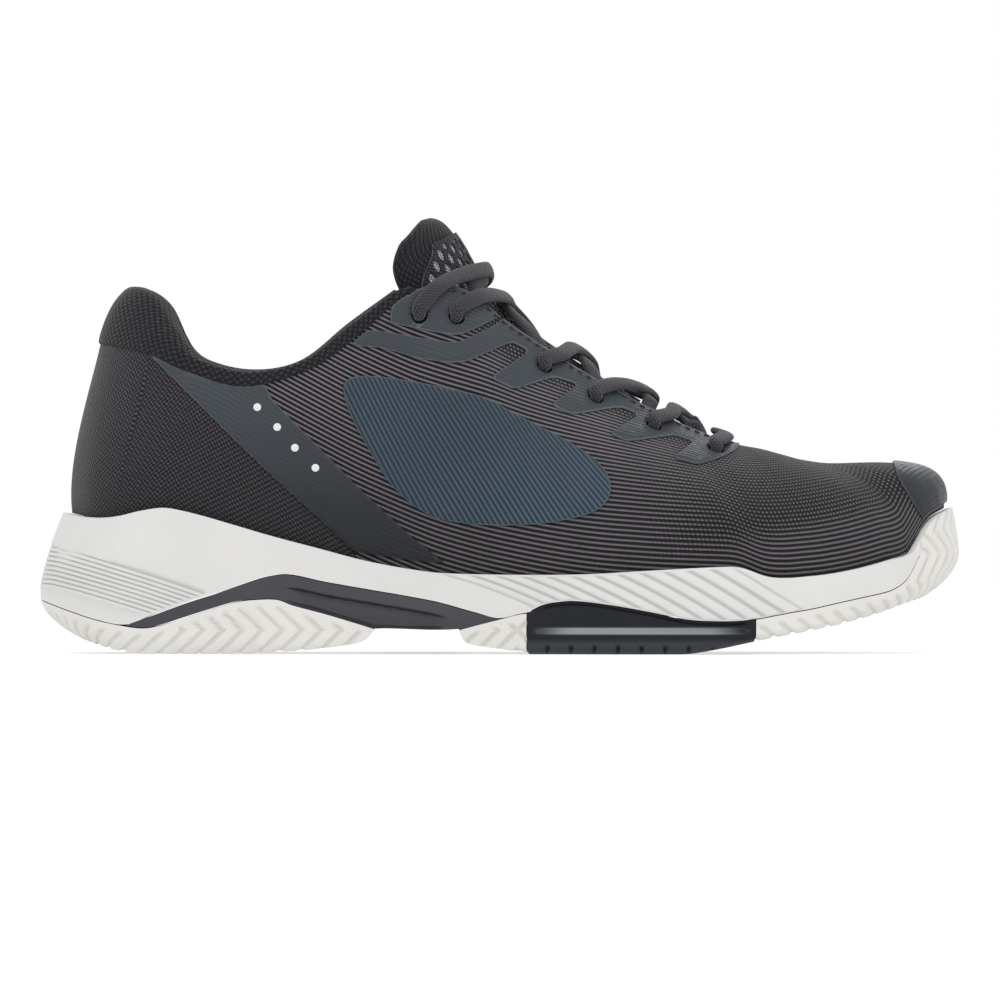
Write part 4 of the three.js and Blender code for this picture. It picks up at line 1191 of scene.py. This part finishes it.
def build_collar():
    around = 42
    rows = np.linspace(0, 8.2, 124)
    stations = [(-1, r) for r in rows[:0:-1]] + [(1, r) for r in rows]
    sections = np.array([through(collar_section(s, r), np.linspace(0, 14, around, endpoint=False), True)
                         for s, r in stations])
    obj = quad_object("collar_padding", sections, ring_weave(sections, 12), "collar_knit")
    row, column = np.divmod(np.arange(len(sections) * around), around)
    # sewn down along the upper's edge, inside the shoe and at both ends
    held = (column < 2) | (column > 27) | (row < 3) | (row > len(sections) - 4)
    inflate(obj, held, 1.4)
    finished(obj, "collar_knit", "collar")


def tongue_face(p, q):
    """The tongue's outer face: p counts its sections upwards, q is -1 to 1 across."""
    x, z, half, depth, _, lean = np.moveaxis(through(TONGUE, np.clip(p, 0, 10)), -1, 0)
    drop = depth * np.abs(q) ** 1.8
    a = np.radians(lean)
    return stack(x - drop * np.cos(a), half * q, z - drop * np.sin(a))


def tongue_point(p, q, lift):
    e = 0.04
    p, q = floats(p, q)
    dp = tongue_face(p + e, q) - tongue_face(p - e, q)
    dq = tongue_face(p, q + e) - tongue_face(p, q - e)
    return tongue_face(p, q) + unit(np.cross(dq, dp)) * np.asarray(lift)[..., None]


def tongue_round(p):
    """The top corners of the tongue are cut to a curve: the share of its half width at p."""
    return np.sqrt(1 - 0.8 * np.clip((p - 8.0) / 2.0, 0, 1) ** 2.4)


def build_tongue():
    columns = 45
    middle = columns // 2
    p, q0 = np.meshgrid(np.linspace(0.02, 10, 96), np.linspace(-1, 1, columns), indexing="ij")
    q = q0 * tongue_round(p)
    thick = through(TONGUE, np.clip(p, 0, 10))[..., 4] * (1 - 0.45 * q ** 4)
    top_edge = np.clip((10 - p) / 0.9, 0, 1)
    side_edge = np.clip((1 - np.abs(q0)) / 0.12, 0, 1)
    closing = np.minimum(top_edge, side_edge)
    roll = 1 - np.sqrt(np.maximum(0, 1 - (1 - closing) ** 2))
    upper = tongue_point(p, q, -roll * thick * 0.42)
    lower = tongue_point(p, q, -thick * (1 - roll * 0.42))
    section = np.concatenate([upper, lower[:, ::-1]], 1)
    obj = quad_object("tongue_padding", section, ring_weave(section, middle), "tongue_knit")
    row, column = np.divmod(np.arange(len(section) * 2 * columns), 2 * columns)
    off_middle = np.minimum(np.abs(column - middle), np.abs(column - (2 * columns - 1 - middle)))
    # only the free top of the tongue puffs, and not its edges
    held = (row < 62) | (off_middle > 20)
    inflate(obj, held, 1.6)
    finished(obj, "tongue_knit", "tongue", body="tongue")
    build_tongue_mesh()


def build_tongue_mesh():
    """Open mesh over a pale backing on the tongue's face."""
    def sheet(rows, columns):
        p, share = np.meshgrid(np.linspace(3.25, 8.35, rows), np.linspace(-1, 1, columns), indexing="ij")
        q = share * (0.47 + 0.42 * ease(6.0, 6.8, p) - 0.3 * ease(6.9, 8.3, p))
        face = tongue_point(p, q, 0 * p)
        n = unit(tongue_point(p, q, 0 * p + 1) - face)
        along = run_length(face[:, columns // 2])
        weave = stack(along[:, None], face[..., 1], 0)
        data = np.concatenate([face, n, weave], -1).reshape(-1, 9)
        return data, grid_faces(rows, columns, True), along[-1], share.ravel()

    data, faces, _, _ = sheet(90, 36)
    backing, back_faces = thicken(data, faces, 0.34, 0.16)
    piece("tongue_mesh_backing", backing, back_faces, "tongue_backing", slot="tongue_open_mesh",
          body="tongue")
    data, faces, length, share = sheet(290, 110)
    u, w = data[:, 6], data[:, 7]
    pitch, row_pitch = 4.8, 2.3
    row = np.floor(w / row_pitch)
    cu = np.mod(u + pitch / 2 * np.mod(row, 2), pitch) - pitch / 2
    cw = np.mod(w, row_pitch) - row_pitch / 2
    border = np.minimum(u, length - u) - 1.6
    hole = np.hypot(cu / 1.8, cw / 0.78) - 1
    edge = (1 - np.abs(share)) * 14 - 0.9
    field = np.where((border > 0) & (edge > 0), hole, 1.0)
    holed, holed_faces = clip(data, faces, field)
    holed, holed_faces = thicken(holed, holed_faces, 0.95, 0.36)
    piece("tongue_mesh_open", holed, holed_faces, "tongue_open_mesh", "tongue_mesh", body="tongue")


def build_insole():
    profile = ((1.7, 6.3), (2.2, 6.0), (4.4, 5.4), (5.6, 5.3), (6.15, 5.9), (6.3, 7.0))
    left, right = rings(np.linspace(0, ROWS, 271),
                        lambda x: [(bed_inset(x) + inset, bed(x) + up) for up, inset in profile])
    q = inner_steps(40)
    top = lerp(left[:, -1:], right[:, -1:], q)
    x, q = top[..., 0], q[..., 0]
    top[..., 2] -= np.sin(np.pi * q) * (1.1 * ease(-60, -110, x) + 0.35)
    top[..., 2] += 0.5 * ease(0.5, 1.0, q) * ease(-75, -45, x) * ease(30, 0, x)
    base = lerp(right[:, :1], left[:, :1], inner_steps(7))
    section = np.concatenate([left, top, right[:, ::-1], base, left[:, :1]], 1)
    weave = stack(section[..., 0], section[..., 1], 0)
    p, f = weld(with_weave(section, weave), grid_faces(*section.shape[:2]))
    piece("insole_foam", p, f, "sockliner", "insole", sharp=60)


# ---- lace ----
OVER = 2.1      # height of the lace's middle over the upper
UNDER = -2.7    # and below it


def on_upper(side, r, v, lift, shift_up=0.0, squeeze=1.0):
    """Lace point over the upper, the direction its width lies in, and how far it is squeezed."""
    e = 0.02
    at = skin(side, r, v)
    dr = skin(side, r + e, v) - skin(side, r - e, v)
    dv = unit(skin(side, r, min(v + e, 1)) - skin(side, r, v - e))
    normal = unit(np.cross(dr, dv)) * -side
    return at + normal * lift + dv * shift_up, unit(dr), squeeze


def on_ridge(p, q, lift):
    ref = unit(tongue_point(p - 0.2, 0, 0.0) - tongue_point(p + 0.2, 0, 0.0))
    return tongue_point(p, q, lift), ref, 1.0


def through_eyelet(side, n):
    r, v = EYELETS[n - 1]
    return [on_upper(side, r, v, OVER, 1.7, 0.95), on_upper(side, r, v, OVER * 0.6, 0.2, 0.8),
            on_upper(side, r, v, -0.3, -0.1, 0.68), on_upper(side, r, v, UNDER * 0.75, 0.4, 0.75),
            on_upper(side, r, v, UNDER - 0.1, 1.8, 0.9)]


def under_edge(side, n):
    return [on_upper(side, EDGE_ROWS[n - 1], 0.97, UNDER)]


def strand(side, n):
    """From eyelet n over the tongue and under the far edge."""
    upper = side < 0
    lift = 5.6 if upper else 3.25
    p = RIDGE_ROWS[n - 1]
    r = EYELETS[n - 1][0]
    return [on_upper(side, r + (EDGE_ROWS[n] - r) * 0.28, 0.985, OVER + 0.45),
            on_ridge(p + 0.12, side * 0.22, lift),
            on_ridge(p - 0.1, -side * 0.22, lift - (0.7 if upper else 0)),
            on_upper(-side, lerp(EDGE_ROWS[n], r, 0.08), 1, UNDER + 0.5, 5.2 if n == 1 else 4.2)]


def lace_tail(side):
    return [on_upper(side, 8.4, 0.35, -7.4), on_upper(side, 8.38, 0.5, -6.8),
            on_upper(side, 8.32, 0.65, -5.8), on_upper(side, 8.25, 0.77, -4.6)]


def lace_path():
    """Down from one tucked end through six eyelets, across the vamp and back up the others."""
    path = []
    walk = [(1, 1), (-1, 2), (1, 3), (-1, 4), (1, 5), (-1, 6)]
    for side, n in walk:
        path += (under_edge(side, n) if n > 1 else lace_tail(side)) + through_eyelet(side, n)[::-1]
        if n < 6:
            path += strand(side, n)
    path += [on_upper(-1, 13.2, 0.98, OVER + 0.5), on_ridge(BAR_ROW, 0, 4.6),
             on_upper(1, 13.2, 0.98, OVER + 0.5)]
    for mirrored, n in walk[::-1]:
        side = -mirrored
        if n < 6:
            path += strand(side, n)[::-1]
        path += through_eyelet(side, n)
        path += under_edge(side, n) if n > 1 else lace_tail(side)[::-1]
    return path


def spline(points, steps):
    """Centripetal Catmull-Rom points, steps to each span."""
    p = np.array(points, float)
    ends = [2 * p[0] - p[1]], [2 * p[-1] - p[-2]]
    q = np.concatenate([ends[0], p, ends[1]])
    out = []
    for i in range(1, len(q) - 2):
        a, b, c, d = q[i - 1:i + 3]
        t = np.concatenate([[0], np.cumsum([max(np.linalg.norm(n - m), 1e-4) ** 0.5
                                            for m, n in ((a, b), (b, c), (c, d))])])
        for k in range(steps):
            u = lerp(t[1], t[2], k / steps)
            ab = lerp(a, b, (u - t[0]) / (t[1] - t[0]))
            bc = lerp(b, c, (u - t[1]) / (t[2] - t[1]))
            cd = lerp(c, d, (u - t[2]) / (t[3] - t[2]))
            abc = lerp(ab, bc, (u - t[0]) / (t[2] - t[0]))
            bcd = lerp(bc, cd, (u - t[1]) / (t[3] - t[1]))
            out.append(lerp(abc, bcd, (u - t[1]) / (t[2] - t[1])))
    out.append(p[-1])
    return np.array(out)


def build_lace():
    width, thick, around = 5.3, 2.5, 16
    path = lace_path()
    centre = spline([k[0] for k in path], 8)
    t = np.linspace(0, len(path) - 1, len(centre))
    ref = through([k[1] for k in path], t)
    squeeze = through([[k[2]] for k in path], t)[:, 0]
    tangent = unit(np.gradient(centre, axis=0))
    side = unit(ref - np.sum(ref * tangent, 1, keepdims=True) * tangent)
    normal = np.cross(tangent, side)
    a = np.linspace(0, 2 * np.pi, around, endpoint=False)
    flat = np.sign(np.cos(a)) * np.abs(np.cos(a)) ** 0.9
    high = np.sign(np.sin(a)) * np.abs(np.sin(a)) ** 0.8
    w = (width / 2 * squeeze)[:, None, None] * flat[None, :, None]
    h = (thick / 2 / np.sqrt(squeeze))[:, None, None] * high[None, :, None]
    grid = centre[:, None] + side[:, None] * w + normal[:, None] * h
    round_it = np.abs(np.linspace(-6.2, 6.2, around, endpoint=False))
    weave = stack(run_length(centre)[:, None], round_it, 0)
    obj = quad_object("lace_cord", grid, weave, "lace_textile")
    obj.data.shade_smooth()
    finished(obj, "lace_textile", "lace")
    for label, ends in (("medial", path[:2]), ("lateral", path[:-3:-1])):
        build_aglet(label, ends[0][0], unit(ends[0][0] - ends[1][0]))


def build_aglet(label, end, direction):
    """Plastic tip: a tube with two crimps and a rounded nose."""
    profile = [(-0.3, 1.0), (0.0, 1.38), (0.8, 1.42), (4.2, 1.4), (4.6, 1.18), (5.4, 1.18),
               (5.8, 1.4), (13, 1.4), (13.4, 1.18), (14.2, 1.18), (14.6, 1.38), (18.6, 1.3),
               (19.6, 1.05), (20.2, 0.5), (20.3, 0.02)]
    a = unit(np.cross(direction, [0, 1, 0.2]))
    b = np.cross(direction, a)
    angles = np.linspace(0, 2 * np.pi, 28, endpoint=False)
    ring = np.cos(angles)[:, None] * a + np.sin(angles)[:, None] * b
    grid = np.array([end + direction * (h + 0.2) + ring * radius for h, radius in profile])
    obj = quad_object(f"aglet_{label}_tip", grid, np.zeros_like(grid), "aglet_plastic")
    obj.data.shade_smooth()
    finished(obj, "aglet_plastic", f"aglet_{label}")


# ---- sewing ----
def stitches(name, p, normals):
    """A row of thread loops along a line on the surface."""
    length, gap, radius, lift = 2.3, 1.0, 0.26, 0.85
    s = run_length(p)

    def at(d, values):
        return np.array([np.interp(d, s, values[:, k]) for k in range(3)])
    verts, faces, weaves = [], [], []
    for start in np.arange(0.5, s[-1] - length, length + gap):
        a, b = at(start, p), at(start + length, p)
        up = unit(at(start + length / 2, normals))
        ahead = unit(b - a)
        side = np.cross(up, ahead)
        base = len(verts)
        for i, t in enumerate(np.linspace(0, 1, 7)):
            swell = math.sqrt(max(1 - (2 * t - 1) ** 4, 0.02))
            centre = lerp(a, b, t) + up * (lift + radius * 0.8 * swell - 0.25 * (1 - swell))
            for k in range(6):
                angle = k * math.pi / 3
                verts.append(centre + (side * math.cos(angle) + up * math.sin(angle)) * radius * swell)
                weaves.append((start + t * length, k * 0.3, 0))
        for i in range(6):
            for k in range(6):
                q = base + i * 6 + k
                r = base + i * 6 + (k + 1) % 6
                faces += [(q, r, r + 6), (q, r + 6, q + 6)]
    data = np.concatenate([np.array(verts), np.zeros((len(verts), 3)), np.array(weaves)], 1)
    piece(name, data, np.array(faces), "stitch", slot="lace_textile", sharp=80)


def build_stitching():
    for label, side in SIDES.items():
        r = np.linspace(8.75, 13.5, 260)
        v = 0.972 - 0.01 * ease(9, 13, r)
        stitches(f"throat_stitch_{label}", skin(side, r, v), skin_normal(side, r, v))


def build_marks():
    """A plain row of reflective dots on the strap."""
    for label, side in SIDES.items():
        spots = []
        rs, vs = np.meshgrid(np.linspace(3, 8, 120), np.linspace(0.2, 0.95, 90), indexing="ij")
        face = skin(side, rs, vs)
        angle = np.linspace(0, 2 * np.pi, 28)[:, None]
        for number in range(4):
            x, z = -79.0 + 6.2 * number, 79.5 - 6.4 * number
            k = np.argmin(np.hypot(face[..., 0] - x, face[..., 2] - z))
            r, v = rs.ravel()[k], vs.ravel()[k]
            at, n = skin(side, r, v), skin_normal(side, r, v)
            a = unit(np.cross(n, [0, 0, 1.0]))
            circle = np.cos(angle) * a + np.sin(angle) * np.cross(n, a)
            profile = ((1.25, 0.8), (1.25, 1.02), (1.05, 1.1), (0.0, 1.12))
            grid = np.array([at + n * lift + circle * radius for radius, lift in profile])
            spots.append((with_weave(grid, np.zeros_like(grid)), grid_faces(*grid.shape[:2])))
        p, f = joined(*spots)
        piece(f"strap_dots_{label}", p, f, "print_white", slot="film_slate", sharp=60, closed=False)


# ---- scene ----
def paint_kept_nodes():
    """Looks for the nodes that no finer piece replaces."""
    kept = {"lasting_board": "board", "heel_counter": "stiffener", "toe_puff": "stiffener"}
    for node, look in kept.items():
        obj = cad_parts[node]
        obj.data.materials.clear()
        obj.data.materials.append(LOOKS[look])


def area_light(name, place, aim_height, size, power):
    data = bpy.data.lights.new(name, "AREA")
    data.shape = "DISK"
    data.size = size
    data.energy = power
    obj = placed(name, data)
    obj.location = place
    aim = Vector((0, 0, aim_height)) - Vector(place)
    obj.rotation_euler = aim.to_track_quat("-Z", "Y").to_euler()


def build_studio():
    """White surroundings, three soft lights and a floor that glows a little; sizes in metres."""
    world = bpy.data.worlds.new("studio")
    world.use_nodes = True
    background = world.node_tree.nodes["Background"]
    background.inputs["Color"].default_value = (1, 1, 1, 1)
    background.inputs["Strength"].default_value = 1.0
    bpy.context.scene.world = world
    area_light("key", (-0.5, -1.5, 1.5), 0.05, 1.0, 8)
    area_light("fill", (1.2, -0.9, 0.8), 0.05, 0.9, 2.2)
    area_light("back", (0.2, 1.6, 1.2), 0.06, 1.0, 5)
    half = 4.0
    mesh = bpy.data.meshes.new("floor")
    mesh.from_pydata([(-half, -half, 0), (half, -half, 0), (half, half, 0), (-half, half, 0)], [],
                     [(0, 1, 2, 3)])
    paint = Look("floor_paint", rough=0.9, specular=0.1)
    paint.set("Base Color", paint.mix(paint.noise(2), srgb(190, 190, 190), srgb(194, 194, 194)))
    paint.set("Emission Color", (1, 1, 1, 1))
    paint.set("Emission Strength", 0.5)
    mesh.materials.append(paint.material)
    placed("floor", mesh)


def build_camera():
    """Long lens square on to the lateral side."""
    data = bpy.data.cameras.new("camera")
    data.lens = 600
    data.sensor_width = 36
    data.clip_end = 60
    camera = placed("camera", data)
    view_width = 0.325
    camera.location = (-0.0005, -view_width * data.lens / data.sensor_width, 0.0497)
    camera.rotation_euler = (math.radians(90), 0, 0)
    bpy.context.scene.camera = camera
    bpy.context.scene.view_settings.view_transform = "Standard"


build_studio()
build_camera()
build_sole()
build_upper()
build_collar()
build_tongue()
build_insole()
build_lace()
build_stitching()
build_marks()
paint_kept_nodes()
